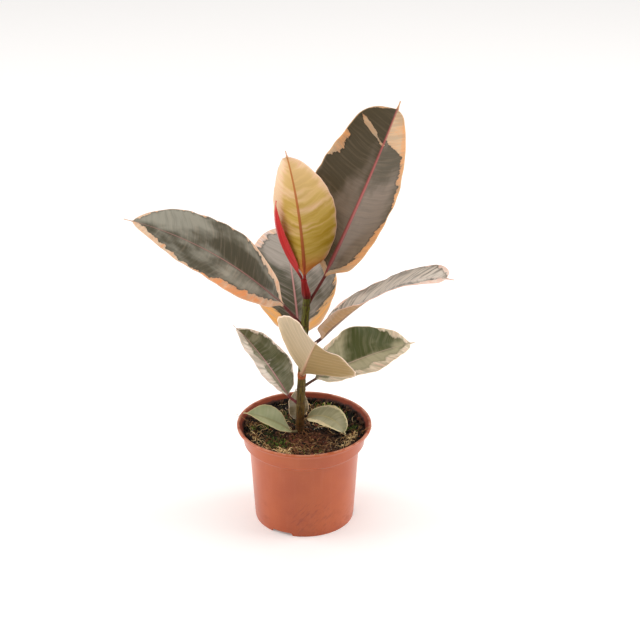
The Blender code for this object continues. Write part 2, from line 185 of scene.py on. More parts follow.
def ring_faces(rings, sides, first=0):
    """The faces between rings of points that are numbered on from a first point."""
    return [(a + k, a + (k + 1) % sides, a + sides + (k + 1) % sides, a + sides + k)
            for a in range(first, first + (rings - 1) * sides, sides) for k in range(sides)]


def closed_faces(rings, sides):
    """The faces of a body that has a single point on each end, before and after its rings."""
    last = 1 + rings * sides
    faces = ring_faces(rings, sides, 1)
    for k in range(sides):
        nxt = (k + 1) % sides
        faces += [(0, 1 + nxt, 1 + k), (last, last - sides + k, last - sides + nxt)]
    return faces


def tube_faces(rings, sides):
    """The faces of a tube with a flat cap on each end."""
    last = rings * sides
    return ring_faces(rings, sides) + [tuple(range(sides))[::-1], tuple(range(last - sides, last))]


def turned(profile, sides):
    """Points and faces of a closed turned body. The profile's two ends lie on the axis."""
    angles = np.arange(sides) * math.tau / sides
    inner = profile[1:-1]
    points = np.stack([inner[:, :1] * np.cos(angles), inner[:, :1] * np.sin(angles),
                       np.repeat(inner[:, 1:], sides, 1)], 2).reshape(-1, 3)
    points = np.concatenate([[[0, 0, profile[0][1]]], points, [[0, 0, profile[-1][1]]]])
    return points, closed_faces(len(inner), sides)


def polar(radius, angle):
    """A place by its distance from the middle and its compass."""
    return radius * math.cos(angle), radius * math.sin(angle)


def ease(x, low, high):
    """A soft step from 0 at low to 1 at high."""
    u = np.clip((x - low) / (high - low), 0.0, 1.0)
    return u * u * (3.0 - 2.0 * u)


POT_HEIGHT, LIP_RADIUS, LIP_INNER_RADIUS, LIP_THICKNESS = 92.0, 60.0, 57.0, 2.4
COLLAR_TOP_RADIUS, COLLAR_LOW_RADIUS, COLLAR_HEIGHT, SHOULDER_DROP = 55.2, 53.9, 17.5, 3.0
BODY_TOP_RADIUS, FOOT_RADIUS, POT_WALL = 49.0, 44.4, 1.4
FLOOR_DISC_RADIUS, CHANNEL_HEIGHT = 33.0, 6.0
NOTCH_WIDTH, NOTCH_HEIGHT, FIRST_NOTCH, NOTCHES = 20.0, 2.8, -117.0, 3
DRAIN_HOLE_RADIUS, DRAIN_CIRCLE_RADIUS, DRILL_LENGTH = 3.0, 39.7, 8.0
POT_SIDES = 240
shoulder_top = POT_HEIGHT - COLLAR_HEIGHT
shoulder_low = shoulder_top - SHOULDER_DROP
lip_low = POT_HEIGHT - LIP_THICKNESS
floor_top = CHANNEL_HEIGHT + POT_WALL
inner_foot = FOOT_RADIUS - POT_WALL


def wall_radius(z):
    """The inner radius of the pot's wall at height z."""
    if z <= shoulder_low:
        outer = FOOT_RADIUS + (BODY_TOP_RADIUS - FOOT_RADIUS) * z / shoulder_low
    elif z < shoulder_top:
        up = (z - shoulder_low) / SHOULDER_DROP
        outer = BODY_TOP_RADIUS + (COLLAR_LOW_RADIUS - BODY_TOP_RADIUS) * up
    else:
        up = (z - shoulder_top) / (COLLAR_HEIGHT - 2 * LIP_THICKNESS)
        outer = COLLAR_LOW_RADIUS + (COLLAR_TOP_RADIUS - COLLAR_LOW_RADIUS) * min(up, 1.0)
    return outer - POT_WALL


def corners(radius, height, *steps):
    """Corners of an outline, each by how far it lies out and up from one place."""
    return [(radius + out, height + up) for out, up in steps]


pot_profile = rounded([
    (0.0, POT_WALL), *corners(FLOOR_DISC_RADIUS, POT_WALL, (-8.0, 0.0), (-1.0, 0.0)),
    (FLOOR_DISC_RADIUS + 2.8, floor_top), (wall_radius(floor_top) - 1.0, floor_top),
    *[(wall_radius(z), z) for z in (floor_top + 1.0, 30.0, shoulder_low - 3.0)],
    (wall_radius(shoulder_low), shoulder_low + 0.6), (wall_radius(shoulder_top), shoulder_top + 0.6),
    (wall_radius(81.0), 81.0), (COLLAR_TOP_RADIUS - POT_WALL, lip_low - 3.6),
    (LIP_INNER_RADIUS - 1.2, lip_low - 0.6),
    *corners(LIP_INNER_RADIUS, POT_HEIGHT, (-0.1, -1.0), (0.8, 0.05)),
    *corners(LIP_RADIUS, POT_HEIGHT, (-1.0, 0.05), (0.05, -0.6)),
    *corners(LIP_RADIUS, lip_low, (0.05, 0.3), (-1.2, -0.5)),
    *corners(COLLAR_TOP_RADIUS, lip_low, (1.4, -1.4), (0.0, -3.6), (-0.3, -6.0)),
    *corners(COLLAR_LOW_RADIUS, shoulder_top, (0.1, 2.0), (0.0, 0.5), (-0.9, -0.6)),
    *corners(BODY_TOP_RADIUS, shoulder_low, (0.9, 0.5), (0.0, -1.2), (-0.35, -6.0)), (46.0, 25.0),
    (FOOT_RADIUS + 0.4, CHANNEL_HEIGHT), *corners(FOOT_RADIUS, 0.0, (0.0, 1.2), (-0.3, 0.0)),
    *corners(inner_foot, 0.0, (0.2, 0.0), (0.0, 1.0)),
    *corners(inner_foot, CHANNEL_HEIGHT, (0.0, -0.6), (-0.8, 0.0)),
    *corners(FLOOR_DISC_RADIUS, CHANNEL_HEIGHT, (4.4, 0.0), (3.7, -0.5)),
    *corners(FLOOR_DISC_RADIUS, 0.0, (0.2, 0.2), (-0.6, 0.0), (-6.0, 0.0)), (0.0, 0.0),
], 2)
pot_points, pot_faces = turned(pot_profile, POT_SIDES)
around = np.degrees(np.arctan2(pot_points[:, 1], pot_points[:, 0]))
between = 360.0 / NOTCHES
off_notch = np.abs((around - FIRST_NOTCH + between / 2) % between - between / 2)
notch_half = math.degrees(NOTCH_WIDTH / 2 / FOOT_RADIUS)
in_notch = 1.0 - ease(off_notch, notch_half - 1.2, notch_half + 0.8)
reach = np.hypot(pot_points[:, 0], pot_points[:, 1])
at_foot = (reach > inner_foot - 0.9) & (pot_points[:, 2] < NOTCH_HEIGHT)
cut_away = np.maximum(pot_points[:, 2], NOTCH_HEIGHT * in_notch)
pot_points[:, 2] = np.where(at_foot, cut_away, pot_points[:, 2])

lip_top = POT_HEIGHT * MM
plastic = Finish("terracotta_plastic", specular=0.45, coat_roughness=0.2)
spot = plastic.here()
spot_x, spot_y, spot_z = plastic.parts(spot)
clouds = plastic.noise(spot, 22.0, 3.0)
runs = plastic.noise((spot_x, spot_y, spot_z * 0.12), 160.0, 3.0)
speckle = plastic.noise(spot, 1900.0)
smears = plastic.noise((spot_x, spot_y, spot_z * 1.6), 75.0, 5.0, 0.65)
low_down = 1 - spot_z.step(0.012, 0.045)
scuffed = (smears + low_down * 0.12).step(0.6, 0.74) * low_down
dust = plastic.noise(spot, 260.0, 4.0, 0.7).step(0.62, 0.75)
dust = dust * spot_z.step(lip_top - 0.014, lip_top - 0.002)
clay = plastic.mix(clouds.step(0.3, 0.7), (166, 70, 22), (178, 82, 30))
clay = clay.tint(runs.step(0.45, 0.75) * 0.15, (190, 104, 66))
clay = clay.tint(speckle.step(0.55, 0.75) * 0.15, (204, 126, 90))
clay = clay.tint(scuffed * 0.25, (132, 56, 30))
rub_middle = (0.008, -0.045, 0.018)
rubbed = 1 - plastic.measure("DISTANCE", spot, rub_middle).step(0.012, 0.026)
slanted = (spot_x - spot_z * 0.8, 0.0, (spot_z + spot_x * 0.4) * 0.3)
strokes = plastic.noise(slanted, 330.0, 3.0, 0.6)
clay = clay.tint(rubbed * strokes.step(0.5, 0.66) * 0.4, (122, 48, 26))
facing = plastic.node("NewGeometry", {}, {}, "Normal")
outward = plastic.measure("DOT_PRODUCT", facing, (spot_x, spot_y, 0.0))
inside = 1 - outward.step(-0.035, -0.01)
# Painted shade: every inward-facing face of the pot is darkened to a deep red-brown, standing in for
# the shade inside the pot.
clay = clay.tint(inside * 0.8, (120, 44, 20))
clay = clay.tint(dust * 0.5, (92, 52, 34))
# Painted highlight: a thin pale line along the top of the lip, broken up by the runs.
painted_lip_highlight = spot_z.step(lip_top - 0.0012, lip_top + 0.0001) * runs.step(0.3, 0.6)
clay = clay.tint(painted_lip_highlight * 0.4, (232, 172, 142))
# Painted shade: the inner wall from a few mm under the lip down to the soil is darkened almost to
# black, with a wavy top edge.
uneven = spot_z + (smears - 0.5) * 0.008
painted_inner_shade = inside * (1 - uneven.step(lip_top - 0.0048, lip_top - 0.0028))
clay = clay.tint(painted_inner_shade * 0.85, (34, 22, 15))
plastic.dress(clay, speckle * 0.5 + runs * 0.4 + smears * low_down * 0.5, 0.18, 0.0003,
              Roughness=0.32 + clouds * 0.12 + scuffed * 0.1 + inside * 0.4,
              Coat_Weight=0.35 - inside * 0.35)
pot = add_piece("pot_shell", pot_points, pot_faces, plastic, "pot")
for k in range(NOTCHES):
    angle = math.radians(FIRST_NOTCH + between * k)
    bpy.ops.mesh.primitive_cylinder_add(vertices=32, radius=DRAIN_HOLE_RADIUS * MM,
                                        depth=DRILL_LENGTH * MM)
    drill = bpy.context.object
    drill.location = Vector((*polar(DRAIN_CIRCLE_RADIUS, angle), CHANNEL_HEIGHT)) * MM
    cut = pot.modifiers.new("drain_hole", "BOOLEAN")
    cut.operation = "DIFFERENCE"
    cut.solver = "EXACT"
    cut.object = drill
    bpy.context.view_layer.update()
    in_scene = pot.evaluated_get(bpy.context.evaluated_depsgraph_get())
    drilled = bpy.data.meshes.new_from_object(in_scene)
    pot.modifiers.remove(cut)
    bpy.data.objects.remove(drill, do_unlink=True)
    pot.data = drilled
pot.data.name = "pot_shell"
pot.data.set_sharp_from_angle(angle=math.radians(50))


# Soil: moist dark peat that fills the pot to just under the lip. Clods, fibres, pale grit and moss
# lie on it, and it is reddish brown and full of fine roots round the stem.
SOIL_LEVEL, SOIL_EDGE_RISE, PLANT_DEPTH, GAP = 82.4, 4.0, 38.0, 0.3
STEM_TOP, STEM_LEAN, STEM_FOOT_X = 215.5, 6.6, -3.9
STEM_LOW_RADIUS, STEM_TOP_RADIUS, NODE_SWELLING = 3.8, 3.35, 0.35
SOIL_SIDES, SOIL_RINGS = 220, 84
SOIL_REACH, STEM_CLEARANCE, FIBRE_STEPS = 51.0, 5.5, 9
EDGE_CLODS, LOOSE_CLODS, ROOT_CLODS, GRAINS, LOOSE_FIBRES = 260, 620, 170, 90, 330
MOUND_HEIGHT, MOUND_RADIUS = 1.3, 11.0      # the soil drawn up round the stem
soil_edge = wall_radius(SOIL_LEVEL + SOIL_EDGE_RISE) + 0.1
fibre_edge = soil_edge - 0.6
stem_hole = STEM_LOW_RADIUS + NODE_SWELLING + GAP


def stem_point(z):
    """The middle of the stem at height z."""
    up = (z - SOIL_LEVEL) / (STEM_TOP - SOIL_LEVEL)
    sway = 0.9 * math.sin(math.pi * min(max(up, 0.0), 1.0))
    return np.array([STEM_FOOT_X + STEM_LEAN * up - sway, 0.0, z])


def soil_height(x, y):
    """How high the soil stands at a place."""
    broad = noise.fractal(Vector((x / 14.0, y / 14.0, 3.1)), 1.0, 2.0, 3)
    lumps = noise.fractal(Vector((x / 3.4, y / 3.4, 7.7)), 0.8, 2.1, 4)
    crumbs = noise.fractal(Vector((x / 0.9, y / 0.9, 1.3)), 0.9, 2.0, 2)
    mound = MOUND_HEIGHT * math.exp(-(math.hypot(x - STEM_FOOT_X, y) / MOUND_RADIUS) ** 2)
    rise = SOIL_EDGE_RISE * (math.hypot(x, y) / soil_edge) ** 5
    return SOIL_LEVEL + 0.9 * broad + 1.1 * lumps + 0.28 * crumbs + mound + rise


soil_foot = stem_point(SOIL_LEVEL)
hole_floor = SOIL_LEVEL - PLANT_DEPTH - GAP
# each ring: its radius and height, how far it is centred on the stem, and whether it is rough
soil_rings = [(stem_hole, hole_floor, 1.0, False)]
for k in range(SOIL_RINGS + 1):
    out = k / SOIL_RINGS
    soil_rings.append((stem_hole - 0.5 + (soil_edge - stem_hole + 0.5) * out, 0.0, 1.0 - out, True))
soil_rings += [
    (wall_radius(shoulder_top) - 0.5, shoulder_top + 0.9, 0.0, False),
    (wall_radius(shoulder_low) - 0.5, shoulder_low + 0.9, 0.0, False),
    (wall_radius(floor_top) - 0.4, floor_top + GAP, 0.0, False),
    (FLOOR_DISC_RADIUS + 2.2, floor_top + GAP, 0.0, False),
    (FLOOR_DISC_RADIUS - 1.6, POT_WALL + GAP, 0.0, False),
]
soil_points = [(soil_foot[0], 0.0, hole_floor)]
for radius, height, toward_stem, rough in soil_rings:
    for k in range(SOIL_SIDES):
        x, y = polar(radius, math.tau * k / SOIL_SIDES)
        x += soil_foot[0] * toward_stem
        soil_points.append((x, y, soil_height(x, y) if rough else height))
soil_points.append((0.0, 0.0, POT_WALL + GAP))
soil_faces = [(face[0], *face[:0:-1]) for face in closed_faces(len(soil_rings), SOIL_SIDES)]

peat = Finish("peat", specular=0.25)
spot = peat.here()
spot_x, spot_y, _ = peat.parts(spot)
root_middle = (0.004, -0.018, 0.0)
from_stem = peat.measure("DISTANCE", (spot_x, spot_y, 0.0), root_middle)
crumb = peat.noise(spot, 420.0, 5.0, 0.7)
blotch = peat.noise(spot, 75.0, 3.0, 0.6)
grains = peat.noise(spot, 1500.0, 3.0, 0.7)
reddish = (1 - from_stem.step(0.008, 0.034)) * blotch.step(0.34, 0.6)
green = peat.noise(spot, 48.0, 3.0).step(0.56, 0.66) * from_stem.step(0.02, 0.04)
earth = peat.mix(crumb.step(0.42, 0.74), (7, 6, 5), (50, 38, 27))
earth = earth.tint(reddish * 0.75, peat.mix(grains, (58, 28, 18), (142, 84, 54)))
earth = earth.tint(green * 0.55, peat.mix(grains, (34, 42, 16), (98, 112, 48)))
earth = earth.tint(grains.step(0.66, 0.76) * 0.5, (150, 122, 92))
peat.dress(earth, crumb + grains * 0.5, 0.9, 0.0008, Roughness=0.8 + crumb * 0.2)
add_piece("soil_surface", soil_points, soil_faces, peat, "soil")


def unit_lump():
    """The corners and faces of a small round body, which every clod and grain is pressed from."""
    body = bmesh.new()
    bmesh.ops.create_icosphere(body, subdivisions=2, radius=1.0)
    corners = np.array([v.co[:] for v in body.verts])
    faces = [tuple(v.index for v in f.verts) for f in body.faces]
    body.free()
    return corners, faces


class Heap:
    """Many small bodies that lie in one piece, each with a tone of its own."""

    def __init__(self):
        self.points, self.faces, self.tones = [], [], []

    def add(self, corners, faces, tone):
        start = len(self.points)
        self.points.extend(corners.tolist())
        self.faces.extend(tuple(i + start for i in face) for face in faces)
        self.tones.extend([tone] * len(corners))

    def lay(self, name, finish):
        """Makes one piece of the heap."""
        add_piece(name, self.points, self.faces, finish, marks={"tone": self.tones})


lump_corners, lump_faces = unit_lump()
draw = random.Random(11)


def lump(heap, x, y, size, sink, flat, tone):
    """Lays one rough clod or grain on the soil."""
    scatter = np.array([draw.uniform(0.62, 1.15) for _ in lump_corners])[:, None]
    turn = draw.uniform(0, math.tau)
    stretch = np.array([size * draw.uniform(0.8, 1.35), size * draw.uniform(0.6, 1.0), size * flat])
    body = lump_corners * scatter * stretch
    twist = np.array([[math.cos(turn), -math.sin(turn), 0], [math.sin(turn), math.cos(turn), 0],
                      [0, 0, 1]])
    lean = draw.uniform(-0.5, 0.5)
    slant = np.array([[1, 0, 0], [0, math.cos(lean), -math.sin(lean)],
                      [0, math.sin(lean), math.cos(lean)]])
    height = soil_height(x, y) + size * flat * sink
    heap.add(body @ slant.T @ twist.T + (x, y, height), lump_faces, tone)


def on_soil(outer=52.0):
    """A random place on the soil, evenly over its area and off the stem."""
    angle = draw.uniform(-math.pi, math.pi)
    radius = math.sqrt(draw.uniform(STEM_CLEARANCE ** 2, outer ** 2))
    return polar(radius, angle)


def near(middle_x, middle_y, spread_x, spread_y=None):
    """A random place near another one."""
    return draw.gauss(middle_x, spread_x), draw.gauss(middle_y, spread_y or spread_x)


def is_free(x, y, clearance=STEM_CLEARANCE):
    """Whether a place lies on the soil and off the stem."""
    return math.hypot(x, y) < SOIL_REACH and math.hypot(x - STEM_FOOT_X, y) > clearance


clods = Heap()
for _ in range(EDGE_CLODS):
    size, heading = draw.uniform(0.7, 2.1), draw.uniform(0, math.tau)
    radius = soil_edge - size - 0.1
    lump(clods, *polar(radius, heading), size, draw.uniform(0.4, 1.5), 0.95,
         (draw.random() * 0.8, draw.random(), 0.0))
for _ in range(LOOSE_CLODS):
    x, y = on_soil()
    size = 0.5 + 1.9 * draw.random() ** 2.6
    lump(clods, x, y, size, draw.uniform(0.0, 0.5), draw.uniform(0.5, 0.9),
         (draw.random(), draw.random(), 0.0))
for _ in range(ROOT_CLODS):
    x, y = near(STEM_FOOT_X + 5, -17, 9, 8)
    if is_free(x, y):
        lump(clods, x, y, draw.uniform(0.5, 1.7), draw.uniform(0.1, 0.6), 0.75,
             (draw.random(), 1.0, 0.0))
crumbs = Finish("peat_clods", 0.95, 0.3)
tone, reds, _ = crumbs.parts(crumbs.mark("tone"))
grains = crumbs.noise(crumbs.here(), 900.0, 4.0, 0.7)
earth = crumbs.mix(tone.step(0.35, 1.0), (11, 8, 7), (104, 76, 54))
earth = earth.tint(reds.step(0.72, 1.0) * 0.75, (128, 74, 52))
earth = earth.tint(grains.step(0.52, 0.75) * 0.45, (138, 104, 76))
crumbs.dress(earth, grains, 0.9, 0.0006)
clods.lay("soil_clods", crumbs)

grit = Heap()
for _ in range(GRAINS):
    x, y = on_soil()
    lump(grit, x, y, 0.22 + 0.45 * draw.random() ** 2, 0.6, 0.8, (draw.random(), 0.0, 0.0))
stone = Finish("pale_grit", 0.8)
tone, _, _ = stone.parts(stone.mark("tone"))
pits = stone.noise(stone.here(), 2200.0, 3.0)
pale = stone.mix(tone, (168, 146, 128), (226, 214, 200))
stone.dress(pale.tint(pits.step(0.5, 0.8), (120, 96, 80)), pits, 0.6, 0.0003)
grit.lay("soil_grit", stone)


def strand(heap, path, thick, tone, sides=5):
    """A thin tapering strand along a path of points."""
    path = np.array(path, float)
    ahead = np.gradient(path, axis=0)
    ahead /= np.linalg.norm(ahead, axis=1, keepdims=True)
    side = np.cross(ahead, (0.12, 0.31, 0.94))
    side /= np.linalg.norm(side, axis=1, keepdims=True)
    up = np.cross(side, ahead)
    share = np.linspace(0, 1, len(path))
    girth = thick * (0.35 + 0.65 * np.sin(math.pi * np.clip(share * 0.8 + 0.15, 0, 1)))
    rings = []
    for k in range(sides):
        angle = math.tau * k / sides
        rings.append(path + (side * math.cos(angle) + up * math.sin(angle)) * girth[:, None])
    corners = np.stack(rings, 1).reshape(-1, 3)
    heap.add(corners, tube_faces(len(path), sides), tone)


def lie_on_soil(x, y, length, bend, arch):
    """The path of a fibre that lies on the soil at a random heading, humped in its middle."""
    heading = draw.uniform(0, math.tau)
    length, bend, arch = draw.uniform(*length), draw.uniform(-bend, bend), draw.uniform(*arch)
    path = []
    for k in range(FIBRE_STEPS):
        share = k / (FIBRE_STEPS - 1)
        path.append((x, y, soil_height(x, y) + 0.25 + arch * math.sin(math.pi * share)))
        heading += bend * draw.uniform(0.3, 1.4) / FIBRE_STEPS
        ahead_x, ahead_y = polar(length / FIBRE_STEPS, heading)
        x, y = x + ahead_x, y + ahead_y
        out = math.hypot(x, y)
        if out > fibre_edge:
            x, y = x * fibre_edge / out, y * fibre_edge / out
    return path


fibres = Heap()
for _ in range(LOOSE_FIBRES):
    path = lie_on_soil(*on_soil(outer=50.5), (4, 16), 2.6, (0.0, 2.0))
    strand(fibres, path, draw.uniform(0.09, 0.26), (draw.random() ** 1.4, 0, 0))
# tufts of straw: the place, spread, count and lightness of each
for middle_x, middle_y, spread, count, light in (
    (-44, -13, 3, 34, 1.3), (-19, -42, 4, 70, 1.5), (-33, -34, 4, 36, 1.2), (45, -12, 4, 44, 1.3),
    (3, -30, 10, 90, 0.5), (40, -28, 4, 24, 1.1), (0, -10, 5, 40, 0.4), (12, 44, 8, 26, 0.8),
    (-47, 8, 3, 20, 0.7),
):
    for _ in range(count):
        x, y = near(middle_x, middle_y, spread)
        if is_free(x, y, 5.0):
            path = lie_on_soil(x, y, (3, 12), 1.8, (0.2, 3.6))
            strand(fibres, path, draw.uniform(0.12, 0.42),
                   (min(light * draw.uniform(0.1, 1.2), 1.0), 0, 0))
# loose fibres that hang over the lip on both sides
for side_x, front_y in ((-1, 9.0), (1, -13.0)):
    out, high = math.sqrt(LIP_RADIUS ** 2 - front_y ** 2), POT_HEIGHT
    for lean in (0.0, 2.6):
        stray = [(side_x * (out - 9.0), front_y - lean, high - 3.2),
                 (side_x * (out - 5.0), front_y, high - 0.4),
                 (side_x * (out - 2.6), front_y + lean, high + 0.9),
                 (side_x * out, front_y + lean, high + 1.5),
                 (side_x * (out + 2.6), front_y + 1.0, high + 1.0 + lean)]
        strand(fibres, stray, 0.2, (0.5, 0, 0))
straw = Finish("root_fibres", 0.8, 0.3)
tone, _, _ = straw.parts(straw.mark("tone"))
hairs = straw.noise(straw.here(), 1200.0, 3.0)
fibre = straw.mix(tone.step(0.05, 0.55), (88, 50, 30), (164, 118, 72))
fibre = fibre.tint(tone.step(0.45, 0.9), (246, 213, 155))
straw.dress(fibre.tint(hairs.step(0.45, 0.8) * 0.5, (88, 60, 38)), hairs, 0.4, 0.0002)
fibres.lay("soil_fibres", straw)

moss = Heap()
# mossy places: the middle, spread and count of each
for middle_x, middle_y, spread, count in (
    (18, 40, 7, 260), (32, 30, 5, 120), (-26, 26, 5, 90), (-22, -24, 6, 150), (-34, 12, 4, 60),
    (44, 4, 4, 50), (8, -34, 5, 30), (-46, 2, 3, 50),
):
    for _ in range(count):
        x, y = near(middle_x, middle_y, spread)
        if not is_free(x, y, 6.0):
            continue
        tall, heading = draw.uniform(1.0, 3.2), draw.uniform(0, math.tau)
        lean = draw.uniform(0.2, 1.2)
        base = soil_height(x, y) - 0.3
        blade = [(x + math.cos(heading) * lean * up * up, y + math.sin(heading) * lean * up * up,
                  base + tall * up) for up in (0.0, 0.35, 0.7, 1.0)]
        strand(moss, blade, draw.uniform(0.14, 0.3), (draw.random(), 0, 0), sides=4)
green_moss = Finish("moss", 0.7, 0.3)
tone, _, _ = green_moss.parts(green_moss.mark("tone"))
flecks = green_moss.noise(green_moss.here(), 1300.0)
leafy = green_moss.mix(tone, (46, 72, 16), (142, 172, 66))
green_moss.dress(leafy.tint(flecks.step(0.5, 0.75) * 0.5, (120, 104, 56)), flecks, 0.4, 0.0002)
moss.lay("soil_moss", green_moss)


# Stem: one living rod with young bark, olive green above and brown and streaked below. Each leaf
# leaves it at a swollen node, which keeps a thin ring scar, and a shed leaf left a round scar.
STEM_SIDES = 48
JOINTS = (206.5, 186, 155, 163, 141, 110, 127, 84.8, 94.5, 87)      # the heights of the stalks
OLD_SCARS = ((104.0, -60.0), (119.0, -130.0), (133.0, 20.0), (148.0, -50.0),
             (172.0, -110.0), (196.0, -60.0))       # height and compass of each
RING_SCAR_RISE, RUSSET_HEIGHT = 3.0, 140.5
BROWN_TO_OLIVE, OLIVE_TO_GREEN = (0.088, 0.125), (0.12, 0.2)        # heights in metres


def stem_radius(z):
    """The stem's radius, with a soft swelling under each stalk."""
    up = min(max((z - SOIL_LEVEL) / (STEM_TOP - SOIL_LEVEL), 0.0), 1.0)
    plain = STEM_LOW_RADIUS + (STEM_TOP_RADIUS - STEM_LOW_RADIUS) * up
    swell = max(math.exp(-((z - joint + 1.0) / 2.2) ** 2) for joint in JOINTS)
    return plain + NODE_SWELLING * swell


stem_heights = [SOIL_LEVEL - PLANT_DEPTH, SOIL_LEVEL - 8.0,
                *np.linspace(SOIL_LEVEL - 3.0, STEM_TOP, 300)]
stem_points = []
for z in stem_heights:
    centre = stem_point(max(z, SOIL_LEVEL)) * (1, 1, 0) + (0, 0, z)
    ring_scar = max(math.exp(-((z - joint - RING_SCAR_RISE) / 0.35) ** 2) for joint in JOINTS)
    for k in range(STEM_SIDES):
        angle = math.tau * k / STEM_SIDES
        radius = stem_radius(z) + 0.13 * ring_scar
        radius += 0.09 * noise.noise(Vector((*polar(2.6, angle), z / 16.0)))
        for height, heading in OLD_SCARS:
            off = (math.degrees(angle) - heading + 180.0) % 360.0 - 180.0
            away = math.hypot((z - height) / 1.7, off / 34.0)
            radius += 0.22 * math.exp(-((away - 0.8) / 0.22) ** 2)
        stem_points.append(centre + (*polar(radius, angle), 0.0))

bark = Finish("young_bark", specular=0.25)
spot_x, spot_y, spot_z = bark.parts(bark.here())
streak = bark.noise((spot_x, spot_y, spot_z * 0.09), 1100.0, 4.0, 0.6)
cloud = bark.noise((spot_x, spot_y, spot_z * 0.4), 260.0, 3.0)
pores = bark.noise((spot_x, spot_y, spot_z * 0.6), 1500.0, 1.0)
height = spot_z + (cloud - 0.5) * 0.03
skin = bark.mix(height.step(*BROWN_TO_OLIVE), (96, 62, 26), (98, 80, 26))
skin = skin.tint(height.step(*OLIVE_TO_GREEN), (106, 106, 30))
skin = skin.tint(streak.step(0.42, 0.62), (58, 44, 18))
skin = skin.tint(streak.step(0.6, 0.8) * 0.6, (136, 124, 70))
skin = skin.tint(pores.step(0.68, 0.76) * 0.7, (158, 132, 92))
for joint in JOINTS:
    on_scar = 1 - abs(spot_z - (joint + RING_SCAR_RISE) * MM).step(0.0002, 0.0011)
    skin = skin.tint(on_scar * 0.55, (72, 40, 22))
russet = 1 - abs(spot_z - RUSSET_HEIGHT * MM).step(0.0018, 0.0044)
skin = skin.tint(russet * 0.85, (164, 84, 44))
bark.dress(skin, streak + pores * 0.5, 0.45, 0.0005, Roughness=0.42 + streak * 0.25)
stem_faces = tube_faces(len(stem_heights), STEM_SIDES)
add_piece("stem_bark", stem_points, stem_faces, bark, "stem")


# Leaves: thick waxy blades, grey-green with ragged cream margins, on short dark red stalks. The grey
# is partly their own mottling and partly painted sheen, and the salmon in the margins and along the
# thin rim is painted glow of light through the blade. Each is one growth with its stalk, a midrib
# raised below, and a narrow drip tip.
BLADE_THICKNESS, STALK_RADIUS, MARGIN_WAVES = 0.55, 1.5, 2.5
KEEL_HEIGHT, RIB_HEIGHT, RIB_SINK = 1.1, 0.26, 0.34     # midrib below, above and sunk round it
DRIP_TIP_SHARE, DRIP_TIP_HALF = 0.05, 0.5
VEIN_SLANT, VEIN_BEND = 0.2, 0.003      # how far a side vein runs on towards the tip as it goes out
VEIN_GAP = 1.9                          # from a side vein to the middle between two of them
SEAT_DEPTH = 0.15                       # how deep the foot of a stalk goes into the bark
# The grey share is partly the blade's own mottling and partly painted sheen. The salmon share is
# painted glow of light through the blade.
GREY_GROUND, FLUSH_GROUND = 0.36, 0.3   # how grey and how salmon a blade is off its patches
PALE_MARGIN = ((0, 1), (0.08, 0.2), (0.9, 0.2), (1, 1))


@dataclass
class Leaf:
    """One leaf: how it leaves the stem, how it is bent, and how it is marked."""
    joint: float                # height of the stalk's foot on the stem
    heading: float              # compass of the stalk, 0 to the right, 90 to the back
    stalk: float                # length of the stalk, from the stem's middle
    stalk_rise: float           # slope of the stalk
    length: float               # length of the blade with its drip tip
    half: float                 # widest half width
    rise: float                 # slope of the blade at its neck
    droop: float                # how much of that slope is gone at the tip
    late: float = 1.0           # above 1 it bends mostly towards the tip
    turn: float = 0.0           # how far the blade's compass turns from the stalk's
    sweep: float = 0.0          # how far it turns on, from neck to tip
    roll: float = 0.0           # turn about the midrib, left half up
    twist: float = 0.0          # further roll from neck to tip
    lift: tuple = (10.0, 10.0)  # how far the left and right halves fold up
    curl: tuple = (6.0, 6.0)    # how far they bend on towards the margin
    relax: float = 0.0          # how fast that fold opens towards the tip
    widest: tuple = (0.5, 0.5)  # where each half is widest
    fullness: float = 0.62      # below 1 the outline is rounder
    blunt: tuple = (0.0, 0.0)   # how much rounder each half is towards the tip
    wave: float = 1.0           # height of the waves along the margin
    stalk_radius: float = STALK_RADIUS
    left: tuple = PALE_MARGIN   # how much of the left half is pale, place by place
    right: tuple = PALE_MARGIN  # and of the right half
    slant: float = 0.3          # how far a patch runs on towards the tip as it goes out
    patches: tuple = ()         # (kind, place along, place across, half length, half width, strength)


def half_width(t, leaf, side):
    """The half width of a blade at t, from 0 at its neck to 1 at its drip tip."""
    power = math.log(0.5) / math.log(leaf.widest[side])
    body = np.clip(t / (1.0 - DRIP_TIP_SHARE), 0.0, 1.0)
    full = leaf.fullness * (1.0 - leaf.blunt[side] * ease(t, 0.55, 0.95))
    oval = np.clip(np.sin(math.pi * body ** power), 0.0, 1.0) ** full
    drip = 0.085 * np.clip((1.0 - t) / (2.2 * DRIP_TIP_SHARE), 0.0, 1.0) ** 1.3 * ease(t, 0.5, 0.95)
    nicks = 1.0 + 0.008 * np.sin(31.0 * t + 4.0 * side) + 0.006 * np.sin(67.0 * t + side)
    return np.maximum(leaf.half * np.maximum(oval * nicks, drip), DRIP_TIP_HALF)


def leaf_path(leaf, start, places):
    """Points, directions, side vectors and normals of stalk and midrib."""
    fine = np.linspace(-leaf.stalk, leaf.length, 400)
    t = np.clip(fine / leaf.length, 0.0, 1.0)
    on_blade = ease(fine, -6.0, 6.0)
    bent = leaf.rise - leaf.droop * t ** leaf.late
    rise = np.radians(leaf.stalk_rise * (1 - on_blade) + bent * on_blade)
    heading = np.radians(leaf.heading + (leaf.turn + leaf.sweep * t) * on_blade)
    ahead = np.stack([np.cos(rise) * np.cos(heading), np.cos(rise) * np.sin(heading),
                      np.sin(rise)], 1)
    steps = (ahead[1:] + ahead[:-1]) / 2 * (fine[1] - fine[0])
    line = start + np.concatenate([np.zeros((1, 3)), np.cumsum(steps, 0)])
    side = np.stack([-np.sin(heading), np.cos(heading), np.zeros_like(heading)], 1)
    normal = np.cross(ahead, side)
    return [np.stack([np.interp(places, fine, a[:, i]) for i in range(3)], 1)
            for a in (line, ahead, side, normal)]


